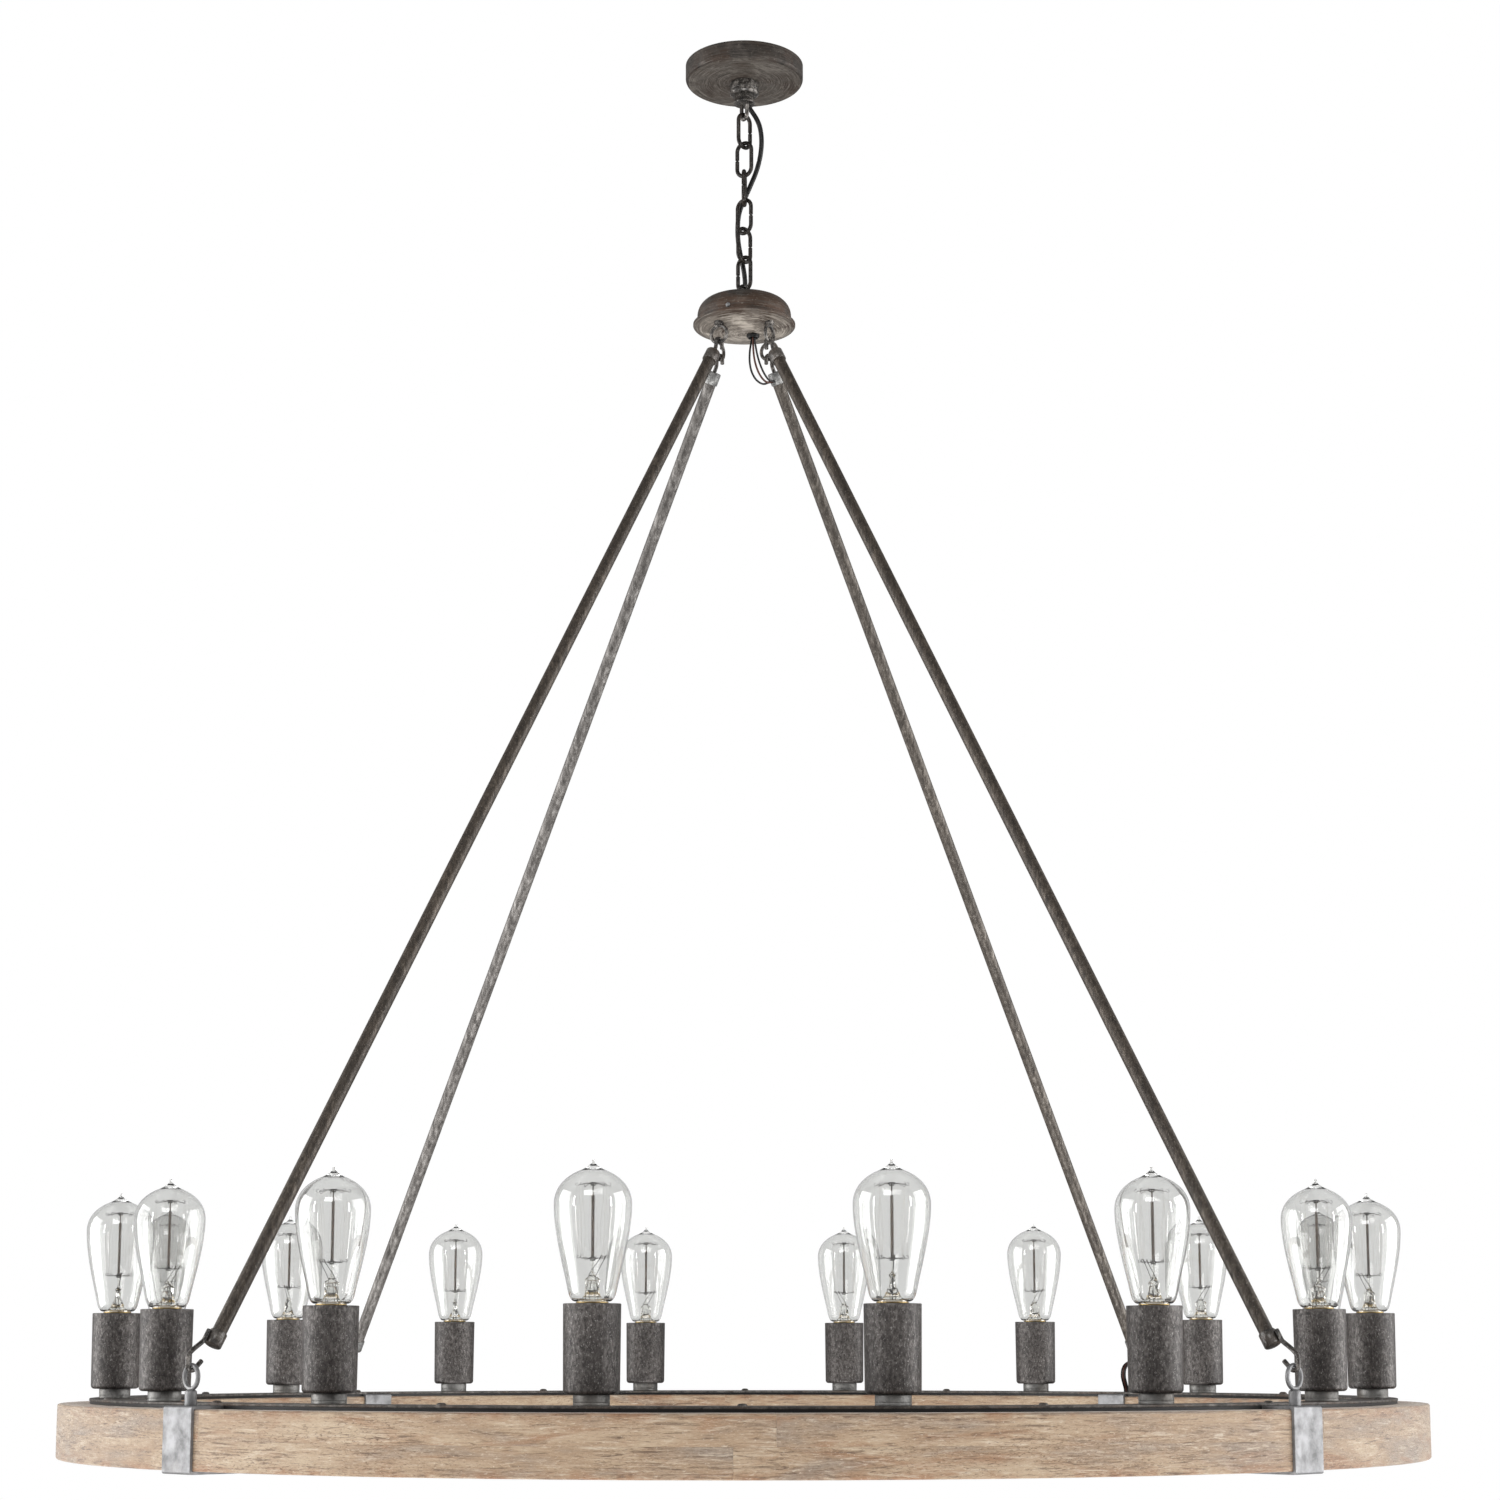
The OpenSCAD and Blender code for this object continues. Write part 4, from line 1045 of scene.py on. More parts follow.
class Finishes:
    """Every material of the chandelier, made once."""

    def __init__(self) -> None:
        """Wires all the finishes."""
        # Below the given level the hub's and canopy's undersides get paler colours: painted light from
        # below.
        self.turned = BrushedIron(
            "turned_iron", dark=(0.013, 0.011, 0.009), light=(0.065, 0.056, 0.049),
            brushed_below=-0.2966).material()
        self.canopy_iron = BrushedIron(
            "canopy_iron", dark=(0.01, 0.008, 0.007), light=(0.05, 0.042, 0.036), brushed_below=-0.019,
            rust=(0.035, 0.021, 0.014), pale=(0.25, 0.225, 0.195)).material()
        self.chain_iron = AgedIron(
            "chain_iron", dark=(0.005, 0.004, 0.0035), mid=(0.012, 0.01, 0.0085), light=(0.04, 0.034, 0.03),
            rust=(0.02, 0.012, 0.008), flecks=0.25, grain_depth=0.2, oil=0.2, gloss=0.15).material()
        # The hook iron's pale tone and dense flecks are partly real flecks, partly painted highlights.
        self.hook_iron = AgedIron(
            "hook_iron", dark=(0.008, 0.007, 0.006), mid=(0.03, 0.026, 0.023), light=(0.26, 0.24, 0.22),
            rust=(0.03, 0.02, 0.014), flecks=0.7, grain_depth=0.2, scale=1.6, oil=0.4, gloss=0.3).material()
        # The sleeves behind the middle get paler tones: painted light.
        self.sleeve_iron = AgedIron(
            "sleeve_iron", dark=(0.02, 0.017, 0.014), mid=(0.055, 0.047, 0.04), light=(0.13, 0.117, 0.105),
            rust=(0.05, 0.03, 0.02), flecks=0.35, grain_depth=0.16, oil=0.5, silver=0.85).material()
        self.rod_iron = StreakedIron(
            "rod_iron", dark=(0.018, 0.013, 0.009), mid=(0.05, 0.038, 0.028), light=(0.115, 0.094, 0.074),
            prick=(0.32, 0.28, 0.24), pricks=0.35, streak=0.2, fineness=800.0).material()
        # The back rods get paler copies of the rod finish: painted light.
        self.back_left_iron = StreakedIron(
            "back_left_iron", dark=(0.045, 0.04, 0.036), mid=(0.135, 0.124, 0.115), light=(0.3, 0.285, 0.27),
            prick=(0.5, 0.48, 0.46), pricks=0.4, streak=0.08, fineness=600.0).material()
        self.back_right_iron = StreakedIron(
            "back_right_iron", dark=(0.028, 0.022, 0.017), mid=(0.08, 0.067, 0.055),
            light=(0.19, 0.168, 0.145), prick=(0.42, 0.39, 0.35), pricks=0.35, streak=0.12,
            fineness=700.0).material()
        self.cup_iron = StreakedIron(
            "cup_iron", dark=(0.016, 0.013, 0.012), mid=(0.062, 0.054, 0.05), light=(0.17, 0.158, 0.15),
            prick=(0.46, 0.44, 0.42), pricks=0.5, streak=0.55, fineness=1000.0).material()
        self.band_iron = AgedIron(
            "band_iron", dark=(0.03, 0.026, 0.024), mid=(0.065, 0.058, 0.052), light=(0.13, 0.12, 0.11),
            rust=(0.09, 0.06, 0.042), flecks=0.25, grain_depth=0.15).material()
        self.zinc = WornZinc(
            "worn_zinc", dark=(0.12, 0.119, 0.12), light=(0.235, 0.235, 0.24), stain=(0.15, 0.14, 0.13),
            crystal=190.0).material()
        self.neck_zinc = WornZinc(
            "neck_zinc", dark=(0.085, 0.082, 0.078), light=(0.24, 0.235, 0.225), stain=(0.13, 0.11, 0.09),
            crystal=260.0).material()
        self.timber = LimedTimber("limed_timber").material()
        # Painted shade: the lamp glass's grey tint stands in for reflections of dark surroundings.
        self.glass = LampGlass("lamp_glass", (0.81, 0.812, 0.804), 0.01).material()
        self.stem_glass = LampGlass("stem_glass", (0.93, 0.93, 0.9), 0.04).material()
        self.brass = Plain("cap_brass", (0.72, 0.53, 0.24), (0.58, 0.42, 0.19), 1.0, 0.3).material()
        self.lead_wire = Plain("lead_wire", (0.1, 0.092, 0.085), (0.045, 0.04, 0.037), 0.6, 0.4).material()
        self.rod_glass = Plain("centre_rod", (0.1, 0.07, 0.05), (0.06, 0.042, 0.03), 0.0, 0.3).material()
        self.filament = Plain("filament", (0.5, 0.47, 0.43), (0.38, 0.35, 0.32), 0.5, 0.5).material()
        self.plastic = Plain("black_plastic", (0.011, 0.011, 0.011), (0.006, 0.006, 0.006), 0.0, 0.42,
                             gloss=0.25).material()
        self.cord = Plain("cord_sheath", (0.009, 0.0085, 0.0085), (0.005, 0.005, 0.005), 0.0, 0.38,
                          900.0, gloss=0.25).material()
        self.brown_wire = Plain("brown_wire", (0.07, 0.024, 0.016), (0.045, 0.015, 0.01), 0.0, 0.4,
                                900.0, gloss=0.25).material()
        self.green = Plain("green_screw", (0.03, 0.2, 0.07), (0.02, 0.14, 0.05), 0.5, 0.35).material()
        self.orange = Plain("connector_plastic", (0.6, 0.17, 0.03), (0.5, 0.13, 0.02), 0.0, 0.45).material()


# Sizes shared by the sub-assemblies, in millimetres from the ceiling plane


@dataclass(frozen=True)
class Sizes:
    """Levels and radii of the frame that several sub-assemblies meet at."""

    wire: float = 4.4
    wire_gap: float = 0.4
    bore: float = 5.1
    link_length: float = 41.8
    link_width: float = 22.0
    loop_top: float = -44.0
    loop_arch: float = -61.0
    loop_yaw: float = -60.0
    hub_top: float = -268.0
    plate_top: float = -294.0
    plate_bottom: float = -297.5
    plate_radius: float = 55.0
    bulge: float = 9.0
    hub_eye_radius: float = 38.0
    hub_eye_size: float = 22.6
    hub_eye_wire: float = 3.8
    hook_wire: float = 4.2
    hook_gap: float = 0.3
    band_top: float = -1434.0
    band_thickness: float = 2.2
    band_outer: float = 650.0
    band_inner: float = 606.0
    lamp_radius: float = 626.0
    screw_radius: float = 642.0
    strap_thickness: float = 2.6
    strap_gap: float = 0.1
    ring_outer: float = 680.0
    ring_inner: float = 604.0
    ring_height: float = 52.0
    eye_radius: float = 669.0
    eye_post: float = 14.0
    strap_eye_size: float = 24.0
    strap_eye_wire: float = 4.0
    neck_height: float = 9.0
    cup_height: float = 73.0
    lamps: int = 16
    lamp_turn: float = 11.25
    feed_turn: float = 45.0
    rod_turns: tuple[float, ...] = (-135.0, -45.0, 135.0, 45.0)

    @property
    def pitch(self) -> float:
        """Distance from one hanging link to the next."""
        return self.link_length - self.wire - self.wire - self.wire_gap

    def link_middle(self, number: int) -> float:
        """Height of a link's middle."""
        top = self.loop_arch + self.wire + self.wire_gap
        return top - (self.link_length - self.wire) / 2 - (number - 1) * self.pitch

    @property
    def hub_arch(self) -> float:
        """Height of the wire's middle at the top of the hub's loop."""
        lowest = self.link_middle(6) - (self.link_length - self.wire) / 2
        return lowest + self.wire + self.wire_gap

    @property
    def bulge_radius(self) -> float:
        """Radius of the sphere under the hub."""
        return (self.plate_radius**2 + self.bulge**2) / (2 * self.bulge)

    def plate_height(self, radius: float) -> float:
        """Height of the hub's underside at a radius."""
        middle = self.plate_bottom - self.bulge + self.bulge_radius
        return middle - math.sqrt(self.bulge_radius**2 - radius**2)

    @property
    def hub_eye_height(self) -> float:
        """Height of a hub eye's middle."""
        return self.plate_height(self.hub_eye_radius) - 1.5 - self.hub_eye_size / 2

    @property
    def strap_top(self) -> float:
        """Height of a strap's upper face."""
        return self.band_top - self.band_thickness

    @property
    def ring_top(self) -> float:
        """Height of the timber's upper face."""
        return self.strap_top - self.strap_thickness - self.strap_gap

    @property
    def ring_bottom(self) -> float:
        """Height of the timber's underside."""
        return self.ring_top - self.ring_height

    @property
    def rim(self) -> float:
        """Height of the cups' rims, where the lamps stand."""
        return self.band_top + self.neck_height + self.cup_height

    @property
    def strap_eye_ring(self) -> float:
        """Radius of a strap eye's wire line."""
        return (self.strap_eye_size - self.strap_eye_wire) / 2

    @property
    def strap_eye_height(self) -> float:
        """Height of a strap eye's middle."""
        return self.strap_top + self.eye_post + self.strap_eye_ring + 0.5

    @property
    def rod_start(self) -> Vector:
        """Top of a rod, as radius and height."""
        return Vector((self.hub_eye_radius + 8, self.hub_eye_height - 22))

    @property
    def rod_end(self) -> Vector:
        """Foot of a rod, as radius and height."""
        return Vector((self.eye_radius - 20.5, self.strap_eye_height + 26.5))

    @property
    def rod_way(self) -> Vector:
        """Direction down a rod, as radius and height."""
        return (self.rod_end - self.rod_start).normalized()

    @property
    def rod_length(self) -> float:
        """Length of a rod over its sleeves."""
        return (self.rod_end - self.rod_start).length

    def rod_matrix(self, turn: float) -> Matrix:
        """Places a shape whose Z axis runs down the rod at one azimuth.

        Args:
            turn: Azimuth of the rod, in degrees.

        Returns:
            The placing matrix.
        """
        tilt = math.atan2(self.rod_way.x, -self.rod_way.y)
        start = Vector((self.rod_start.x, 0, self.rod_start.y))
        spin = Matrix.Rotation(math.radians(turn), 4, "Z")
        return spin @ Matrix.Translation(start) @ Matrix.Rotation(math.pi - tilt, 4, "Y")


@dataclass
class Assembly:
    """Sub-assembly that shares its levels, finishes and ring pattern with the others."""

    sizes: Sizes
    finishes: Finishes
    pattern: RingPattern

    def _place_round(self, shape: Shape, name: str, finish: Material, slot: Slot, node: str,
                     count: int = 4, radius: float = 0.0, first_turn: float = 45.0,
                     spin: float = 0.0) -> None:
        """Sets copies of a shape round the axis, by default one in line with each rod.

        Args:
            shape: The shape to copy, with its own X axis pointing outwards.
            name: Name of the piece.
            finish: Its material.
            slot: The record's slot that the finish stands for. Not used.
            node: CAD node that the piece stands for.
            count: Number of copies.
            radius: Distance of the copies from the axis.
            first_turn: Azimuth of the first copy, in degrees.
            spin: Largest random turn of a copy about itself, in degrees.
        """
        mesh = self.pattern.mesh(shape.mesh(name), finish, count, radius, first_turn, spin)
        place(mesh, finish, Body.FRAME, [node])


@dataclass
class Canopy(Assembly):
    """Ceiling canopy with its collar, loop nut and loop."""

    radius: float = 64.0
    height: float = 20.0
    wall: float = 1.5
    edge: float = 5.0
    face_radii: tuple[float, ...] = (12, 20, 30, 42, 52)
    collar_radius: float = 15.75
    collar_height: float = 14.0
    nut_radius: float = 10.5
    nut_flare: float = 1.4
    loop_width: float = 16.0
    sides: int = 128

    def build(self) -> None:
        """Builds the canopy's pieces."""
        self._pan()
        self._collar()
        self._loop()

    def _pan(self) -> None:
        """Builds the spun pan, open at the ceiling."""
        centre = (self.radius - self.edge, self.edge - self.height)
        inner = self.edge - self.wall
        profile = [(r, -self.height) for r in (self.sizes.bore, *self.face_radii)]
        profile += arc(centre, self.edge, -90, 0, 10)
        profile += [(self.radius, -2.5), (self.radius, -0.5), (self.radius - 0.4, 0.0),
                    (self.radius - self.wall + 0.3, 0.0), (self.radius - self.wall, -0.5)]
        profile += arc(centre, inner, 0, -90, 8)
        profile += [(self.sizes.bore, self.wall - self.height)]
        shape = Shape().lathe(profile, self.sides, closed=True)
        place(shape.mesh("canopy_pan"), self.finishes.canopy_iron, Body.CANOPY, ["canopy"])

    def _collar(self) -> None:
        """Builds the screw collar with its turned grooves."""
        top, r = -self.height, self.collar_radius
        bottom = top - self.collar_height
        profile = rounded([(self.sizes.bore, top), (r - 0.8, top), (r, top - 0.8), (r, top - 8.6),
                           (r - 0.5, top - 9.1), (r, top - 9.6), (r, bottom + 1.8),
                           (r - 1.6, bottom), (self.sizes.bore, bottom)], 0.35, 3)
        shape = Shape().lathe(profile, 96, closed=True)
        place(shape.mesh("collar"), self.finishes.hook_iron, Body.CANOPY, ["canopy_collar"])

    def _loop(self) -> None:
        """Builds the loop nut and its bent wire."""
        s, r = self.sizes, self.nut_radius
        top, bottom = -self.height - self.collar_height, s.loop_top
        foot = r + self.nut_flare
        profile = rounded([(0, top), (r, top), (r, bottom + 3.2), (foot, bottom + 1.4),
                           (foot, bottom + 0.3), (foot - 0.6, bottom), (0, bottom)], 0.4, 3)
        # The eased corners on the axis give way to two poles.
        nut = Shape().lathe([(0, top), *profile[4:-4], (0, bottom)], 72)
        bend = (self.loop_width - s.wire) / 2
        line = [(-bend, bottom + 2), (-bend, bottom - 4)]
        line += arc((0, s.loop_arch + bend), bend, 180, 360, 20)
        line += [(bend, bottom - 4), (bend, bottom + 2)]
        nut.joined(Shape().sweep(in_plane(line, s.loop_yaw), s.wire / 2, 20))
        place(nut.mesh("canopy_loop"), self.finishes.hook_iron, Body.CANOPY, ["canopy_loop"])


@dataclass
class Chain(Assembly):
    """Six bent wire links with an open butt in one side."""

    slit: float = 1.2
    yaws: tuple[float, ...] = (45, -30, 85, -35, 42, -40)
    slit_sides: tuple[int, ...] = (1, -1, -1, 1, 1, -1)
    hub_loop_width: float = 18.0
    hub_loop_yaw: float = 50.0
    hub_nut_radius: float = 8.1
    hub_nut_height: float = 6.0

    def build(self) -> None:
        """Builds the links and the hub's loop."""
        for number in range(1, len(self.yaws) + 1):
            self._link(number)
        self._hub_loop()

    def _link(self, number: int) -> None:
        """Builds one link round from one lip of its butt to the other.

        Args:
            number: Which link, counted from the top.
        """
        s = self.sizes
        bend = (s.link_width - s.wire) / 2
        straight = (s.link_length - s.wire) / 2 - bend
        side, gap = self.slit_sides[number - 1], self.slit / 2
        line: list[Flat] = [(bend, gap), (bend, straight * 0.6)]
        line += arc((0, straight), bend, 0, 180, 24)
        line += [(-bend, straight / 3), (-bend, -straight / 3)]
        line += arc((0, -straight), bend, 180, 360, 24)
        line += [(bend, -straight * 0.6), (bend, -gap)]
        middle = s.link_middle(number)
        points = in_plane([(x * side, z + middle) for x, z in line], self.yaws[number - 1])
        name = Body.link(number)
        mesh = Shape().sweep(points, s.wire / 2, 20).mesh(f"wire_link_{number}")
        place(mesh, self.finishes.chain_iron, name, [name])

    def _hub_loop(self) -> None:
        """Builds the loop on the hub with its round nut."""
        s = self.sizes
        bend = (self.hub_loop_width - s.wire) / 2
        top = s.hub_top + self.hub_nut_height
        line = [(-bend, top - 1.5), (-bend, (top + s.hub_arch - bend) / 2)]
        line += arc((0, s.hub_arch - bend), bend, 180, 0, 20)
        line += [(bend, (top + s.hub_arch - bend) / 2), (bend, top - 1.5)]
        shape = Shape().sweep(in_plane(line, self.hub_loop_yaw), s.wire / 2, 20)
        r = self.hub_nut_radius
        outline = [(0, s.hub_top), (r - 0.4, s.hub_top), (r, s.hub_top + 0.4), (r, top - 1.2),
                   (r - 0.5, top - 0.5), (r - 1.4, top), (0, top)]
        shape.joined(Shape().lathe(outline, 64))
        place(shape.mesh("hub_wire_loop"), self.finishes.chain_iron, Body.HUB_LOOP, ["hub_loop"])


@dataclass
class SupplyCord(Assembly):
    """Black supply cord that leaves the loop nut, winds down the chain and enters the hub."""

    diameter: float = 5.2
    entry: float = 14.0
    route: tuple[Spot, ...] = (
        (0, 0, -1), (0, 0, -12), (0, 0, -24), (0, 0, -34), (0.6, 0.3, -39),
        (2.6, 1.5, -43), (5.6, 3, -47), (9, 3.4, -52), (13, 2.5, -59),
        (16.5, 1.5, -68), (18.4, 1, -79), (18.6, 1.5, -92), (16.6, 4, -106),
        (12.6, 8, -119), (7.2, 12.2, -131), (1.8, 14.8, -143), (-3.2, 14.4, -155),
        (-6.3, 12.6, -168), (-7.2, 11.6, -182), (-6.6, 11.4, -196),
        (-4.4, 12, -210), (-1.4, 13, -224), (0.6, 13.8, -238), (1, 14, -252),
        (1, 14, -266), (1, 14, -278))

    def build(self) -> None:
        """Builds the cord in stretches cut at the links' levels; the ends ride on the canopy and the frame,
        the stretches between on no body.
        """
        s = self.sizes
        line = smooth_route([Vector(p) for p in self.route], 6)
        levels = [s.link_middle(k) for k in range(1, 7)] + [s.hub_arch - 6, s.hub_top + 1]
        bodies = [Body.CANOPY.value, *[Body.link(k) for k in range(1, 7)], Body.HUB_LOOP.value,
                  Body.FRAME.value]
        tops = [s.loop_arch + self.entry] + levels
        self._stretch("cord_entry", self._cut(line, line[0].z, tops[0]), Body.CANOPY, ["supply_cord"])
        for k, (top, bottom) in enumerate(zip(tops, levels)):
            mesh = self._tube(self._cut(line, top, bottom)).mesh(f"cord_{k + 1}")
            piece = add_piece(mesh, self.finishes.cord)
            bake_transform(piece)
        self._stretch("cord_tail", self._cut(line, levels[-1], line[-1].z), Body.FRAME, [])

    def _stretch(self, name: str, points: Row, body: Body, replaces: Sequence[str]) -> None:
        """Builds a stretch of cord that stays with one body."""
        place(self._tube(points).mesh(name), self.finishes.cord, body, replaces)

    def _cut(self, line: Row, top: float, bottom: float) -> Row:
        """Cuts the line between two levels.

        Args:
            line: The whole centre line, always falling.
            top: Upper level.
            bottom: Lower level.

        Returns:
            The points between, with new ones at the two levels.
        """
        def at(level: float) -> Vector:
            """Point of the line at a level.

            Args:
                level: The height.

            Returns:
                The point.
            """
            for a, b in zip(line, line[1:]):
                if a.z >= level >= b.z:
                    return a.lerp(b, (a.z - level) / (a.z - b.z))
            return line[0].copy() if level > line[0].z else line[-1].copy()

        inside = [p for p in line if bottom + 0.5 < p.z < top - 0.5]
        return [at(top), *inside, at(bottom)]

    def _tube(self, points: Row) -> Shape:
        """Tube of the cord's size along the points."""
        return Shape().sweep(points, self.diameter / 2, 16)


@dataclass
class Hub(Assembly):
    """Hub cap, bottom plate, bushings, screws and the four eyes."""

    cap_radius: float = 50.5
    shoulder: float = 18.0
    top_radii: tuple[float, ...] = (10, 16, 24)
    wall: float = 1.8
    screw_turn: float = 10.0
    screws: int = 3
    screw_height: float = 4.0
    screw_profile: tuple[Flat, ...] = (
        (0, 1.4), (0.9, 1.35), (1.8, 1.1), (2.4, 0.6), (2.6, 0.1), (2.6, 0.0), (1.5, 0.0), (1.5, -5.0),
        (0, -5.0))
    eye_turn: float = 17.0
    cord_hole: Flat = (1.0, 14.0)
    feed_hole: Flat = (9.5, 0.0)
    eye_shank: float = 2.5
    boss_radius: float = 5.2

    def build(self) -> None:
        """Builds the hub's pieces."""
        self._cap()
        self._plate()
        self._bushings()
        self._screws()
        self._eyes()

    def _cap(self) -> None:
        """Builds the spun cap with a soft shoulder."""
        s, r = self.sizes, self.cap_radius
        centre = (r - self.shoulder, s.hub_top - self.shoulder)
        profile = [(x, s.hub_top) for x in (s.bore, *self.top_radii)]
        profile += arc(centre, self.shoulder, 90, 0, 16)
        profile += [(r, s.plate_top + 1.2), (r - 0.2, s.plate_top + 0.2), (r - 0.6, s.plate_top),
                    (r - self.wall, s.plate_top + 0.3)]
        profile += arc(centre, self.shoulder - self.wall, 0, 90, 12)
        profile += [(s.bore, s.hub_top - self.wall)]
        shape = Shape().lathe(profile, 128, closed=True)
        place(shape.mesh("hub_dome"), self.finishes.turned, Body.FRAME, ["hub_cap"])

    def _plate(self) -> None:
        """Builds the bottom plate with its rim, bulge and inner flange."""
        s = self.sizes
        steps = 24
        outer, flange = s.plate_radius, self.cap_radius - self.wall - 0.3
        inner = flange - self.wall
        profile = [((outer - 0.8) * i / steps, s.plate_height((outer - 0.8) * i / steps))
                   for i in range(steps + 1)]
        profile += [(outer, s.plate_bottom + 0.8), (outer, s.plate_top - 0.8), (outer - 0.8, s.plate_top),
                    (flange + 0.4, s.plate_top), (flange, s.plate_top + 0.4),
                    (flange, s.plate_top + 8), (inner, s.plate_top + 8)]
        profile += [(inner * i / steps, s.plate_height(inner * i / steps) + self.wall)
                    for i in range(steps, -1, -1)]
        shape = Shape().lathe(profile, 128)
        place(shape.mesh("hub_base"), self.finishes.turned, Body.FRAME, ["hub_plate"])

    def _bushings(self) -> None:
        """Builds the cord's grommet and the feed wires' bushing."""
        s = self.sizes
        top, bore = s.hub_top, 2.9
        grommet = rounded([(bore, top - 3), (bore + 1.3, top - 3), (bore + 1.3, top - self.wall),
                           (bore + 1.3, top), (bore + 2.6, top), (bore + 2.6, top + 1.2),
                           (bore, top + 1.2)], 0.4, 3)
        shape = Shape().lathe(grommet, 32, closed=True)
        shape.moved(Matrix.Translation((*self.cord_hole, 0)))
        low = s.plate_height(self.feed_hole[0]) - 4
        bush = rounded([(4.4, low), (5.7, low), (5.7, low + 1.6), (7.0, low + 1.6), (7.0, low + 3.6),
                        (5.7, low + 3.6), (5.7, low + 9), (4.4, low + 9)], 0.4, 3)
        lower = Shape().lathe(bush, 40, closed=True)
        shape.joined(lower.moved(Matrix.Translation((*self.feed_hole, 0))))
        place(shape.mesh("bushings"), self.finishes.plastic, Body.FRAME, ["hub_bushings"])

    def _screws(self) -> None:
        """Builds the pan-head screws round the hub's edge."""
        s = self.sizes
        screw = Shape().lathe(self.screw_profile, 24)
        lay = Matrix.Rotation(math.pi / 2, 4, "Y")
        screw.moved(Matrix.Translation((self.cap_radius, 0, s.plate_top + self.screw_height)) @ lay)
        self._place_round(screw, "hub_screw_set", self.finishes.zinc, Slot.ZINC, "hub_screws", self.screws,
                          first_turn=self.screw_turn)

    def _eyes(self) -> None:
        """Builds the four eyes with shank and boss."""
        s = self.sizes
        ring = (s.hub_eye_size - s.hub_eye_wire) / 2
        eye = Shape().sweep(upright_circle(ring, 48), s.hub_eye_wire / 2, 18, closed=True)
        spin = Matrix.Rotation(math.radians(self.eye_turn), 4, "Z")
        eye.moved(Matrix.Translation((0, 0, s.hub_eye_height)) @ spin)
        top, crown = s.hub_eye_height + ring, s.plate_height(s.hub_eye_radius + 5)
        boss, shank = self.boss_radius, self.eye_shank
        collar = [(0, top - 0.4), (2.6, top - 0.4), (boss - 0.8, top + 0.6), (boss, top + 1.4),
                  (boss, crown + 0.5), (shank, crown + 0.8), (shank, crown + 6), (0, crown + 6)]
        eye.joined(Shape().lathe(collar, 32))
        eye.moved(Matrix.Translation((s.hub_eye_radius, 0, 0)))
        self._place_round(eye, "hub_eye_set", self.finishes.hook_iron, Slot.IRON, "hub_eyes")


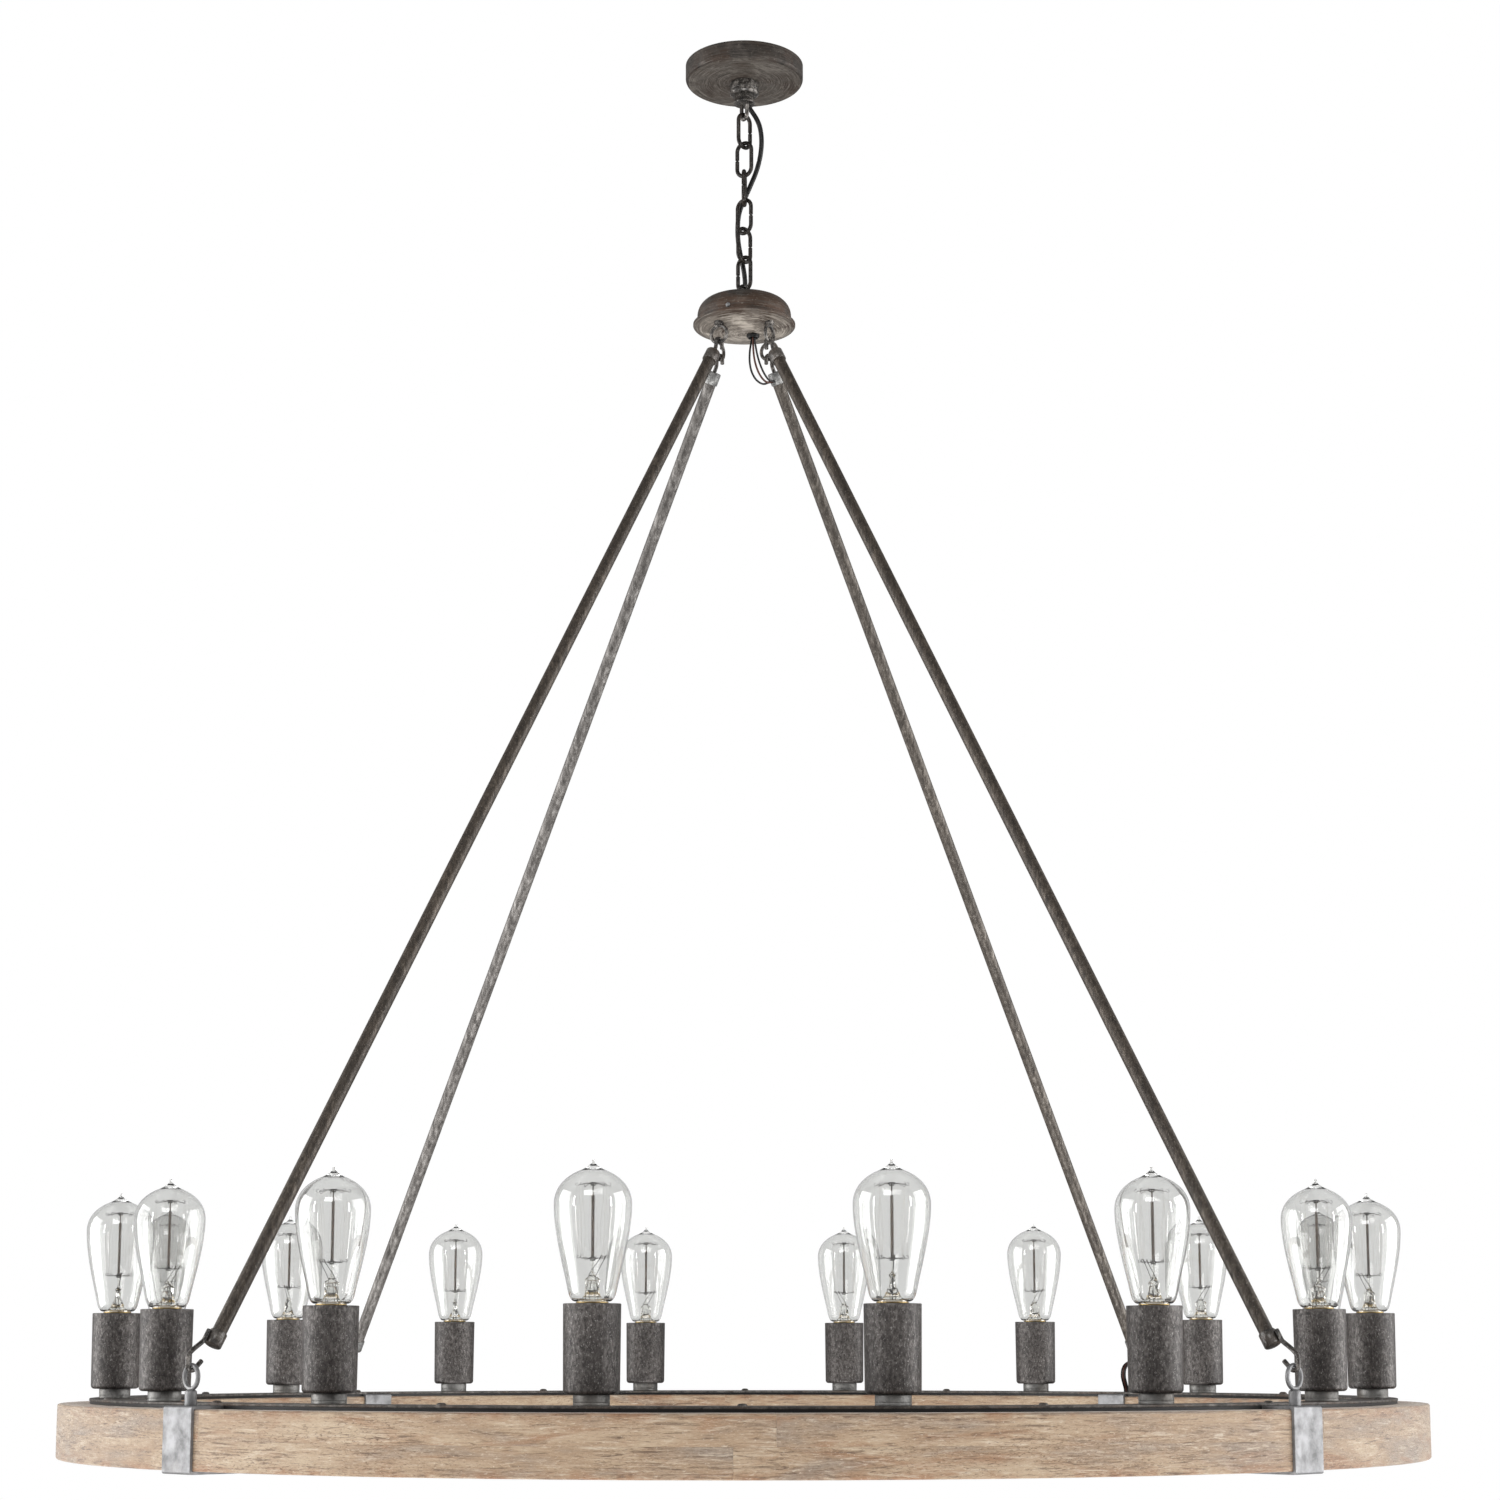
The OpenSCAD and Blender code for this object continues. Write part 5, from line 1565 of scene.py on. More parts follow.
@dataclass
class Rods(Assembly):
    """Four rods with end sleeves, upper and lower hooks, and the feed wires."""

    radius: float = 6.5
    wall: float = 1.5
    rod_sides: int = 36
    rod_steps: int = 90
    unevenness: float = 0.06
    wave_scale: float = 0.02
    sleeve_radius: float = 7.8
    sleeve_length: float = 13.5
    sleeve_end: float = 2.5
    hook_tail: float = 10.0
    wire_radius: float = 1.1
    wire_pitch: float = 2.4
    feed_enter: float = 8.5
    feed_inside: float = 14.5
    names: tuple[str, ...] = ("front_left_rod", "front_right_rod", "back_left_rod", "back_right_rod")
    feed_top: tuple[Spot, ...] = (
        (9.5, 0, -290), (9.5, 0, -300), (9.5, 0, -311), (10, 1.6, -321),
        (11.5, 5, -331), (14.5, 10, -340), (19, 16.5, -347), (24.5, 23.5, -350.5))
    feed_low: tuple[Flat, ...] = (
        (649.5, -1388), (649, -1393), (644.5, -1397.5), (637.5, -1400),
        (630.5, -1403.5), (626.5, -1409.5), (626, -1417), (628.5, -1424),
        (631, -1431), (631, -1440), (631, -1448))

    def build(self) -> None:
        """Builds the rods and what is on them."""
        for name, turn in zip(self.names, self.sizes.rod_turns):
            self._rod(name, turn)
        self._sleeves()
        self._upper_hooks()
        self._lower_hooks()
        self._feed_wires()

    def _rod(self, name: str, turn: float) -> None:
        """Builds one rod's tube, a little uneven as drawn tube is.

        Args:
            name: Name of the rod's CAD node.
            turn: Its azimuth, in degrees.
        """
        length, r = self.sizes.rod_length, self.radius
        run = length - 2 * self.sleeve_end
        heights = [self.sleeve_end + run * i / self.rod_steps for i in range(self.rod_steps + 1)]
        rows = []
        for z in heights:
            wave = self.unevenness * noise.noise(Vector((turn, 0.0, z * self.wave_scale)))
            rows.append(circle(r - self.unevenness + wave, self.rod_sides, z))
        rows += [circle(r - self.wall, self.rod_sides, z) for z in (heights[-1], heights[0])]
        shape = Shape().add_rows(rows, closed_rows=True).moved(self.sizes.rod_matrix(turn))
        f = self.finishes
        # The back rods take paler copies of the rod finish: painted light.
        own = {"back_left_rod": f.back_left_iron, "back_right_rod": f.back_right_iron}
        finish = own.get(name, f.rod_iron)
        place(shape.mesh(name + "_tube"), finish, Body.FRAME, [name])

    def _sleeves(self) -> None:
        """Builds the sleeves at both ends of every rod."""
        r, length = self.sleeve_radius, self.sleeve_length
        bore, end = self.radius + 0.02, self.sleeve_end
        outline = [(0, 0), (r - 1.2, 0), (r - 0.5, 0.25), (r, 1.0), (r, length - 0.6), (r - 0.4, length),
                   (bore, length), (bore, end), (0, end)]
        far = self.sizes.rod_length
        pair = Shape().lathe(outline, 48)
        pair.joined(Shape().lathe([(x, far - z) for x, z in outline], 48))
        pair.moved(self.sizes.rod_matrix(0))
        self._place_round(pair, "end_sleeves", self.finishes.sleeve_iron, Slot.IRON, "rod_sleeves")

    def _upper_hooks(self) -> None:
        """Builds the hooks over the hub's eyes."""
        s = self.sizes
        eye = Vector((s.hub_eye_radius, s.hub_eye_height - (s.hub_eye_size - s.hub_eye_wire) / 2))
        bend = (s.hook_wire + s.hub_eye_wire) / 2 + s.hook_gap
        seat = s.rod_start + s.rod_way * (self.sleeve_end + s.hook_gap)
        knee = s.rod_start - s.rod_way * ((s.rod_start.x - eye.x - bend) / s.rod_way.x)
        line = [tuple(seat)]
        line += bezier(tuple(knee + 4 * s.rod_way), tuple(knee + s.rod_way), (knee.x, knee.y + 1),
                       (knee.x, knee.y + 4), 8)
        line += arc(tuple(eye), bend, 0, 180, 18)
        line += [(eye.x - bend, eye.y - 3), (eye.x - bend, eye.y - 6.6)]
        self._hooks("rod_upper_hooks", line, "upper_hooks")

    def _lower_hooks(self) -> None:
        """Builds the hooks that curl through the strap eyes."""
        s = self.sizes
        eye = Vector((s.eye_radius, s.strap_eye_height + s.strap_eye_ring))
        bend = (s.hook_wire + s.strap_eye_wire) / 2 + s.hook_gap
        way, out = s.rod_way, Vector((-s.rod_way.y, s.rod_way.x))
        side = out * (self.sleeve_radius + s.hook_wire / 2 + 0.05)
        start = s.rod_end - way * (self.sleeve_length - 3) + side
        leave = s.rod_end + way + side
        outer = eye + Vector((bend, 0))
        swell = outer + Vector((0, 2 * s.hook_wire))
        line = [tuple(start), tuple(leave - 3 * way)]
        line += bezier(tuple(leave - way), tuple(leave + 2 * way), (swell.x - 1, swell.y + 4),
                       (swell.x, swell.y - 2), 12)
        line += arc(tuple(eye), bend, 0, -135, 16)
        end, tail = line[-1], self.hook_tail * math.sin(math.pi / 4)
        line += [(end[0] - tail, end[1] + tail)]
        self._hooks("rod_lower_hooks", line, "lower_hooks")

    def _hooks(self, name: str, line: Sequence[Flat], node: str) -> None:
        """Bends one wire hook along a line and sets four round the axis.

        Args:
            name: Name of the piece.
            line: The wire's middle, as radius and height.
            node: CAD node that the piece stands for.
        """
        hook = Shape().sweep(in_plane(line), self.sizes.hook_wire / 2, 18)
        self._place_round(hook, name, self.finishes.hook_iron, Slot.IRON, node)

    def _feed_wires(self) -> None:
        """Builds the three wires from the hub through the back right rod to the band."""
        s = self.sizes
        turn = math.radians(s.feed_turn)
        side = Vector((math.sin(turn), -math.cos(turn), 0))
        out = Vector((-s.rod_way.y, s.rod_way.x))
        enter = s.rod_start + s.rod_way * self.feed_enter - out * (self.radius + 1.5)
        inside = s.rod_start + s.rod_way * self.feed_inside
        leave = s.rod_end - s.rod_way * self.sleeve_length
        run = in_plane([tuple(enter), tuple(inside), tuple(leave), *self.feed_low], s.feed_turn)
        route = [Vector(p) for p in self.feed_top] + run
        wires = ((self.finishes.cord, (-4.5, -1.5, -5.0)), (self.finishes.brown_wire, (-0.5, -0.5, -1.5)),
                 (self.finishes.cord, (1.5, 1.5, 2.5)))
        free = len(self.feed_top)
        for k, (finish, sag) in enumerate(wires):
            shifted = []
            for i, p in enumerate(route):
                ease = math.sin(math.pi * max(0, i - 2) / (free - 2)) if i < free else 0.0
                shifted.append(p + side * ((k - 1) * self.wire_pitch) + Vector(sag) * ease)
            fine = smooth_route(shifted[:free + 2], 5)[:-1] + smooth_route(shifted[free + 1:free + 3], 4)
            fine = fine[:-1] + smooth_route(shifted[free + 2:], 5)
            mesh = Shape().sweep(fine, self.wire_radius, 10).mesh(f"feed_wire_{k + 1}")
            place(mesh, finish, Body.FRAME, [] if k else ["rod_feed_wires"])


@dataclass
class Ring(Assembly):
    """Timber ring in two layers, its straps, eyes, iron band and band screws."""

    boards: int = 8
    glue_gap: float = 0.16
    upper_turn: float = 2.3
    lower_turn: float = -0.6
    groove_width: float = 24.0
    groove_depth: float = 14.0
    edge: float = 2.0
    wear: float = 0.12
    dents: tuple[Flat, ...] = ((0.22, 0.03), (0.16, 0.21))
    strap_width: float = 42.0
    strap_bend: float = 2.7
    strap_ease: float = 0.3
    strap_ease_turn: float = 0.025
    post_radius: float = 5.25
    arc_steps: int = 72
    random: random.Random = field(default_factory=lambda: random.Random(11))

    @property
    def glue_line(self) -> float:
        """Height of the joint between the two layers."""
        return self.sizes.ring_top - self.sizes.ring_height / 2

    @property
    def strap_sweep(self) -> float:
        """Angle that a strap spans, in degrees."""
        return math.degrees(2 * math.asin(self.strap_width / (2 * self.sizes.ring_outer)))

    def build(self) -> None:
        """Builds the ring's pieces."""
        middle = self.glue_line
        self._layer("timber_upper", middle, self.sizes.ring_top, self.upper_turn, True, "wood_ring_upper")
        self._layer("timber_lower", self.sizes.ring_bottom, middle, self.lower_turn, False,
                    "wood_ring_lower")
        self._straps()
        self._strap_eyes()
        self._band()
        self._sealing_strips()
        self._screws()

    def _section(self, bottom: float, top: float, grooved: bool) -> list[Flat]:
        """Outline of one board's cross section, with its outer and inner edges eased.

        Args:
            bottom: Height of the board's underside.
            top: Height of its upper face.
            grooved: Whether the wiring groove is cut in its upper face.

        Returns:
            The section as radius and height.
        """
        s = self.sizes
        high, low = (self.edge, 0.04) if grooved else (0.04, self.edge)
        outer, inner = s.ring_outer - 0.15, s.ring_inner + 0.15
        points = arc((outer - high, top - high), high, 0, 90, 4)
        if grooved:
            a, b = s.lamp_radius + self.groove_width / 2, s.lamp_radius - self.groove_width / 2
            points += [(a, top), (a, top - self.groove_depth), (b, top - self.groove_depth), (b, top)]
        else:
            points += [(outer - 25, top), (inner + 25, top)]
        points += arc((inner + high, top - high), high, 90, 180, 4)
        points += [(inner, bottom + (top - bottom) * f) for f in reversed(QUARTERS)]
        points += arc((inner + low, bottom + low), low, 180, 270, 4)
        points += [(inner + (outer - inner) * f, bottom) for f in QUARTERS]
        points += arc((outer - low, bottom + low), low, 270, 360, 4)
        points += [(outer, bottom + (top - bottom) * f) for f in QUARTERS]
        return points

    def _layer(self, name: str, bottom: float, top: float, first_turn: float, grooved: bool,
               node: str) -> None:
        """Builds one layer of curved boards, each a little worn.

        Args:
            name: Name of the piece.
            bottom: Height of the layer's underside.
            top: Height of its upper face.
            first_turn: Azimuth of the first glue line, in degrees.
            grooved: Whether the wiring groove is cut in it.
            node: CAD node that it stands for.
        """
        s = self.sizes
        section = self._section(bottom, top, grooved)
        middle = Vector(((s.ring_outer + s.ring_inner) / 2, (top + bottom) / 2))
        step = 360 / self.boards
        gap = math.degrees(self.glue_gap / s.ring_outer)
        shape = Shape()
        for board in range(self.boards):
            start = first_turn + step * board + gap / 2
            span = step - gap
            rows = []
            for k in range(self.arc_steps + 1):
                turn = math.radians(start + span * k / self.arc_steps)
                row = []
                for r, z in section:
                    p = polar(r, turn, z)
                    wear = sum((depth * noise.noise(p * fine) for depth, fine in self.dents), self.wear)
                    pull = (middle - Vector((r, z))).normalized() * max(0.0, wear)
                    pull.y *= 0.0 if abs(z - self.glue_line) < 0.5 else 1.0
                    row.append(polar(r + pull.x, turn, z + pull.y))
                rows.append(row)
            tone = self.random.random()
            shape.add_rows(rows, tone=tone)
            shape.add_cap(rows[0], tone).add_cap(rows[-1], tone)
        self._turn_uvs(shape)
        place(shape.mesh(name, 30.0), self.finishes.timber, Body.FRAME, [node])

    @staticmethod
    def _turn_uvs(shape: Shape) -> None:
        """Swaps the UV axes, so that U runs along each board."""
        shape.uvs = [[(v, u) for u, v in corners] for corners in shape.uvs]

    def _straps(self) -> None:
        """Builds the four straps wrapped round the timber."""
        s = self.sizes
        gap, outside = s.strap_gap, s.strap_gap + s.strap_thickness

        def frame(grow: float, radius: float) -> list[Flat]:
            """Eased rectangle round the timber, grown outwards.

            Args:
                grow: How far it stands off the timber.
                radius: Radius of its corners.

            Returns:
                Points of radius and height.
            """
            inner, outer = s.ring_inner - grow, s.ring_outer + grow
            low, high = s.ring_bottom - grow, s.ring_top + grow
            return rounded([(outer, low), (outer, high), (inner, high), (inner, low)], radius, 5)

        steps = 6
        turns = [self.strap_sweep * (i / steps - 0.5) for i in range(steps + 1)]
        eased = frame(outside - self.strap_ease, self.strap_bend - self.strap_ease)
        full = [turns[0] + self.strap_ease_turn, *turns[1:-1], turns[-1] - self.strap_ease_turn]
        rows = [in_plane(eased, turns[0])]
        rows += [in_plane(frame(outside, self.strap_bend), turn) for turn in full]
        rows += [in_plane(eased, turns[-1])]
        rows += [in_plane(frame(gap, 0.4), turn) for turn in reversed(turns)]
        strap = Shape().add_rows(rows, closed_rows=True)
        self._place_round(strap, "ring_straps", self.finishes.zinc, Slot.ZINC, "straps")

    def _strap_eyes(self) -> None:
        """Builds the eye bolts on the straps."""
        s, r = self.sizes, self.post_radius
        eye = Shape().sweep(upright_circle(s.strap_eye_ring, 48), s.strap_eye_wire / 2, 18, closed=True)
        eye.moved(Matrix.Translation((0, 0, s.strap_eye_height)))
        base, top = s.strap_top, s.strap_top + s.eye_post
        post = [(0, base - 32), (2.9, base - 32), (2.9, base), (r - 0.3, base), (r, base + 0.4),
                (r, top - 2.4), (r - 0.6, top - 1.2), (r - 1.8, top - 0.3), (0, top + 0.6)]
        eye.joined(Shape().lathe(post, 36))
        eye.moved(Matrix.Translation((s.eye_radius, 0, 0)))
        self._place_round(eye, "eye_bolts", self.finishes.zinc, Slot.ZINC, "strap_eyes")

    def _band(self) -> None:
        """Builds the flat iron band."""
        s = self.sizes
        top, bottom = s.band_top, s.strap_top
        outline = rounded([(s.band_inner, bottom), (s.band_outer, bottom), (s.band_outer, top),
                           (s.band_inner, top)], 0.5, 3)
        shape = Shape().lathe(outline, 256, closed=True)
        place(shape.mesh("iron_band"), self.finishes.band_iron, Body.FRAME, ["metal_band"])

    def _sealing_strips(self) -> None:
        """Builds dark strips in the gap under the band, between the straps: painted shadow of that gap."""
        s = self.sizes
        low, high = s.ring_top + 0.04, s.strap_top + 0.3
        sweep = self.strap_sweep + 0.1
        near, far = 0.6, 2.4
        edges = ((s.band_outer - near, s.band_outer - far), (s.band_inner + far, s.band_inner + near))
        shape = Shape()
        for outer, inner in edges:
            section = [(outer, low), (outer, high), (inner, high), (inner, low)]
            for quarter in range(4):
                turns = [quarter * 90 - 45 + sweep / 2 + (90 - sweep) * k / 60 for k in range(61)]
                rows = [in_plane(section, turn) for turn in turns]
                shape.add_rows(rows)
                shape.add_cap(rows[0]).add_cap(rows[-1])
        place(shape.mesh("band_sealing"), self.finishes.cord, Body.FRAME)

    def _screws(self) -> None:
        """Builds the pan-head screws of the band, each with a round recess in its middle."""
        s = self.sizes
        top = s.band_top
        head = [(0.0, 1.35), (0.7, 1.4), (1.1, 2.15), (2.0, 2.1), (3.1, 1.75), (3.9, 1.05), (4.2, 0.5),
                (4.2, 0.0)]
        profile = [(r, top + z) for r, z in head] + [(2.0, top), (2.0, top - 20), (0, top - 20)]
        self._place_round(Shape().lathe(profile, 28), "band_screw_set", self.finishes.band_iron, Slot.IRON,
                          "band_screws", s.lamps, s.screw_radius, 0.0, 90.0)


@dataclass
class Sockets(Assembly):
    """Sixteen necks, cups and lampholders."""

    neck_radius: float = 15.0
    cup_radius: float = 23.7
    foot_radius: float = 23.1
    wall: float = 1.6
    floor: float = 2.0
    foot_edge: float = 3.5
    holder_radius: float = 19.0
    holder_height: float = 45.0
    holder_inset: float = 3.0
    mouth_radius: float = 14.1
    mouth_depth: float = 31.0

    def build(self) -> None:
        """Builds the sockets' pieces."""
        s, f = self.sizes, self.finishes
        for name, profile, sides, finish, slot, node in (
                ("socket_neck_set", self._neck(), 48, f.neck_zinc, Slot.IRON, "socket_necks"),
                ("socket_cup_set", self._cup(), 80, f.cup_iron, Slot.IRON, "socket_cups"),
                ("lampholder_set", self._holder(), 48, f.plastic, Slot.PLASTIC, "lampholders")):
            self._place_round(Shape().lathe(profile, sides, closed=True), name, finish, slot, node, s.lamps,
                              s.lamp_radius, s.lamp_turn, 90.0)

    def _neck(self) -> list[Flat]:
        """Profile of the neck under a cup.

        Returns:
            Points of radius and height.
        """
        s, r = self.sizes, self.neck_radius
        base, top = s.band_top, s.band_top + s.neck_height
        return rounded([(s.bore, base), (r, base), (r, base + 2.2), (r - 0.35, base + 2.6),
                        (r, base + 3.0), (r, top), (s.bore, top)], 0.5, 3)

    def _cup(self) -> list[Flat]:
        """Profile of a cup with its rolled foot and turned rim.

        Returns:
            Points of radius and height.
        """
        s, r, foot, edge = self.sizes, self.cup_radius, self.foot_radius, self.foot_edge
        base, rim = s.rim - s.cup_height, s.rim
        points = [(s.bore, base), (12, base), (17, base)]
        points += arc((foot - edge, base + edge), edge, -90, 0, 8)
        points += [(foot + (r - foot) * f, base + s.cup_height * f) for f in QUARTERS]
        points += [(r, rim - 0.5), (r - 0.2, rim - 0.1), (r - 0.6, rim), (r - self.wall + 0.2, rim - 0.1),
                   (r - self.wall, rim - 0.5)]
        points += arc((foot - edge, base + edge + self.floor - self.wall), edge - self.wall, 0, -90, 4)
        return [*points, (s.bore, base + self.floor)]

    def _holder(self) -> list[Flat]:
        """Profile of a lampholder, open at its mouth and drilled for the nipple.

        Returns:
            Points of radius and height.
        """
        top, r, bore = self.sizes.rim - self.holder_inset, self.holder_radius, self.sizes.bore
        low, mouth, bed = top - self.holder_height, self.mouth_radius, top - self.mouth_depth
        return [(bore, low), (r - 3, low), (r, low + 5), (r, top - 1), (r - 0.3, top - 0.3), (r - 1, top),
                (mouth + 0.4, top), (mouth, top - 0.5), (mouth, bed), (3.5, bed), (3.5, low + 6.1),
                (bore, low + 6.1)]


@dataclass
class Lamps(Assembly):
    """Sixteen clear pear lamps with a screw cap, a stem and a caged filament."""

    cap_radius: float = 13.2
    cap_top: float = 1.5
    cap_length: float = 24.0
    glass_radius: float = 32.0
    glass_height: float = 117.4
    glass_wall: float = 0.8
    low_spider: float = 36.0
    high_spider: float = 97.0
    strands: int = 8
    stem_profile: tuple[Flat, ...] = (
        (0, 0), (9.8, 0), (10.1, 0.5), (8.6, 1.4), (6.6, 4), (5.4, 8), (4.6, 13), (4.8, 14.6),
        (4.9, 16.5), (3.6, 18.2), (2.4, 19.2), (3.2, 20.6), (1.2, 22.2), (0.9, 24), (0.9, 32),
        (2.0, 33), (2.2, 34.4), (1.3, 36), (0, 36.4))
    random: random.Random = field(default_factory=lambda: random.Random(23))

    def build(self) -> None:
        """Builds one lamp's parts once and sets them into every socket."""
        parts = (
            ("glass", self._glass().mesh("glass_part", 50.0), self.finishes.glass, Slot.GLASS),
            ("cap", self._cap().mesh("cap_part"), self.finishes.brass, Slot.GLASS),
            ("stem", self._stem().mesh("stem_part"), self.finishes.stem_glass, Slot.GLASS),
            ("centre_rod", self._centre_rod().mesh("centre_rod_part"), self.finishes.rod_glass, Slot.GLASS),
            ("leads", self._leads().mesh("leads_part"), self.finishes.lead_wire, Slot.GLASS),
            ("filament", self._filament(), self.finishes.filament, Slot.GLASS),
        )
        s = self.sizes
        for number in range(1, s.lamps + 1):
            body = Body.lamp(number)
            turn = math.radians(s.lamp_turn + 360 / s.lamps * (number - 1))
            spot = polar(s.lamp_radius, turn, s.rim) * MM
            spin = self.random.uniform(0, 2 * math.pi)
            matrix = Matrix.Translation(spot) @ Matrix.Rotation(spin, 4, "Z")
            for k, (part, source, finish, slot) in enumerate(parts):
                mesh = source.copy()
                mesh.transform(matrix)
                mesh.name = f"{body}_{part}"
                place(mesh, finish, body, [body] if k == 0 else [])

    def _outline(self) -> list[Flat]:
        """Outer outline of the glass from its neck to the drawn-out tip.

        Returns:
            Points of radius and height.
        """
        h, r = self.glass_height, self.glass_radius - 0.05
        cap, low = self.cap_radius, self.cap_top + 0.1
        points = bezier((cap + 0.4, low), (cap + 4, low), (19.0, 5.5), (20.2, 11.5), 8)
        points += bezier((20.2, 11.5), (23, 26), (r, 0.48 * h), (r, 0.685 * h), 16)[1:]
        points += bezier((r, 0.685 * h), (r, 0.815 * h), (20.8, 0.889 * h), (8.8, 0.927 * h), 16)[1:]
        points += bezier((8.8, 0.927 * h), (4, 0.95 * h), (1.9, 0.965 * h), (1.25, 0.975 * h), 6)[1:]
        points += [(1.35, 0.982 * h), (1.2, 0.992 * h), (0.7, 0.998 * h), (0.0, h)]
        return points

    def _glass(self) -> Shape:
        """Thin blown glass, open at the neck, with a solid tip.

        Returns:
            The glass's shape.
        """
        outline = self._outline()
        top = 0.93 * self.glass_height
        inside: list[Flat] = []
        for (r, z), (nr, nz) in zip(outline, outline[1:]):
            if z > top:
                break
            way = Vector((nr - r, nz - z)).normalized()
            inside.append((max(0.3, r - way.y * self.glass_wall), z + way.x * self.glass_wall))
        inside = [p for p in inside if p[1] < top - 0.5]
        inside.append((0.0, inside[-1][1] + 0.6))
        return Shape().lathe([*reversed(inside), *outline], 72)

    def _cap(self) -> Shape:
        """Screw cap with a rolled thread and its contact tip.

        Returns:
            The cap's shape.
        """
        r, top, length = self.cap_radius, self.cap_top, self.cap_length
        sides, pitch = 48, 3.6
        rows: list[Row] = [[Vector((0, 0, top))]]
        heights = [top - 0.1, top - 0.4, top - 1.6, top - 2.4] + [top - 3 - 0.45 * k for k in range(38)]
        for i, z in enumerate(heights):
            row = []
            for k in range(sides):
                a = 2 * math.pi * k / sides
                wave = 0.5 + 0.5 * math.cos(2 * math.pi * z / pitch + a)
                radius = (r - 0.35, r + 0.15, r + 0.15, r - 0.4)[i] if i < 4 else r - 0.75 * wave
                row.append(polar(radius, a, z))
            rows.append(row)
        low = top - length
        tip = ((r - 1.6, low + 1.6), (r - 3.5, low + 0.4), (4.8, low), (4.8, low - 1), (3.3, low - 3.0))
        rows += [circle(radius, sides, z) for radius, z in tip]
        rows.append([Vector((0, 0, low - 3.2))])
        return Shape().add_rows(rows)

    def _stem(self) -> Shape:
        """Flared glass stem with its flattened pinch and the thin rod above it.

        Returns:
            The stem's shape.
        """
        base = self.cap_top + 1.1
        shape = Shape().lathe([(r, base + z) for r, z in self.stem_profile], 28)
        for p in shape.points:
            pinch = min(1.0, max(0.0, (p.z - base - 6) / 8)) if p.z < base + 19 else 0.0
            p.x *= 1 + 0.35 * pinch
            p.y *= 1 - 0.45 * pinch
        return shape

    def _centre_rod(self) -> Shape:
        """Thin brown rod up the middle with a glass bead at each spider.

        Returns:
            The rod's shape.
        """
        line = [Vector((0, 0, z)) for z in (38.4, 50.0, 70.0, 88.0)]
        shape = Shape().sweep(line, 1.35, 12)
        shape.joined(Shape().sweep([Vector((0, 0, z)) for z in (88.0, 93.0, 98.0)], 0.6, 8))
        return shape

    def _leads(self) -> Shape:
        """Lead wires leaning one way with thicker tips, legs in the stem and both spiders.

        Returns:
            The wires' shape.
        """
        shape = Shape()
        for foot, lean in ((-3.2, 7.0), (2.8, 11.0)):
            up = [Vector((foot * 1.2, 0, 3)), Vector((foot * 1.25, 0, 11)), Vector((foot, 0, 18.5)),
                  Vector((foot + 0.1, 0.4, 23)), Vector((lean - 1.4, 1.0, 36.0)), Vector((lean, 1.2, 39.0))]
            shape.joined(Shape().sweep(smooth_route(up, 4), 0.26, 6))
            shape.joined(Shape().sweep([up[-1].lerp(up[-2], 1.2), up[-1]], 0.45, 6))
        for x, y in ((-1.1, 1.6), (1.2, -1.5)):
            leg = [Vector((x * 1.6, y, 3)), Vector((x * 1.4, y, 10)), Vector((x, y * 0.6, 17))]
            shape.joined(Shape().sweep(leg, 0.22, 6))
        for height, reach, rise in ((self.low_spider, 13.0, 1.2), (self.high_spider, 14.5, -0.6)):
            for level, radius, thick in ((height - 0.9, 1.9, 0.5), (height + 0.9, 2.7, 0.45)):
                shape.joined(Shape().sweep(circle(radius, 16, level), thick, 6, closed=True))
            for k in range(self.strands):
                turn = 360 / self.strands * k + self.random.uniform(-9, 9)
                arm = self._arm(height, reach, rise * self.random.uniform(0.4, 1.6))
                shape.joined(Shape().sweep(in_plane(arm, turn), 0.2, 5))
        return shape

    def _arm(self, height: float, reach: float, rise: float) -> list[Flat]:
        """Line of one spider arm, bent up and down and curled round its strand.

        Args:
            height: Level of the spider.
            reach: Radius of the strands there.
            rise: How much the outer end stands above the bead.

        Returns:
            Points of radius and height.
        """
        kick = self.random.uniform(0.5, 1.5)
        line = [(2.0, height), (0.35 * reach, height + 0.3 * kick), (0.5 * reach, height + kick),
                (0.65 * reach, height - 0.4 * kick + 0.5 * rise), (reach - 2.9, height + rise)]
        curl = 1.35 * self.random.uniform(0.8, 1.2)
        return line + arc((reach - 1.2, height + rise + 0.3), curl, 190, 190 + 290, 10)

    def _filament(self) -> Mesh:
        """Upright strands between the spiders, set round by the ring pattern.

        Returns:
            The strands' mesh.
        """
        low, high = self.low_spider + 1.2, self.high_spider - 1.2
        step = math.pi / self.strands
        strand = Shape()
        for side in (-1, 1):
            line = []
            for k in range(13):
                t = k / 12
                r = 12.0 + 2.0 * t + 0.5 * math.sin(math.pi * t)
                a = side * step * 0.42 * math.sin(math.pi * min(1.0, 1.25 * t))
                line.append(polar(r, a, low + (high - low) * t))
            strand.joined(Shape().sweep(line, 0.07, 4))
        return self.pattern.mesh(strand.mesh("filament_part"), self.finishes.filament, self.strands)


@dataclass
class HiddenParts:
    """CAD nodes that keep their own mesh and get a finish."""

    frame: dict
    finishes: Finishes

    def dress(self) -> None:
        """Gives each kept CAD node its finish."""
        f = self.finishes
        kept = {
            "crossbar": f.zinc, "ground_screw": f.green, "canopy_nipple": f.zinc, "canopy_locknut": f.zinc,
            "hub_nipple": f.zinc, "hub_nuts": f.zinc, "wire_connectors": f.orange, "ring_wires": f.cord,
            "socket_nipples": f.zinc, "socket_nuts": f.zinc, "socket_contacts": f.brass,
        }
        for name, material in kept.items():
            node = self.frame["nodes"][name]
            node.data.materials.clear()
            node.data.materials.append(material)
            LOG.info("%s keeps its CAD mesh with %s", name, material.name)


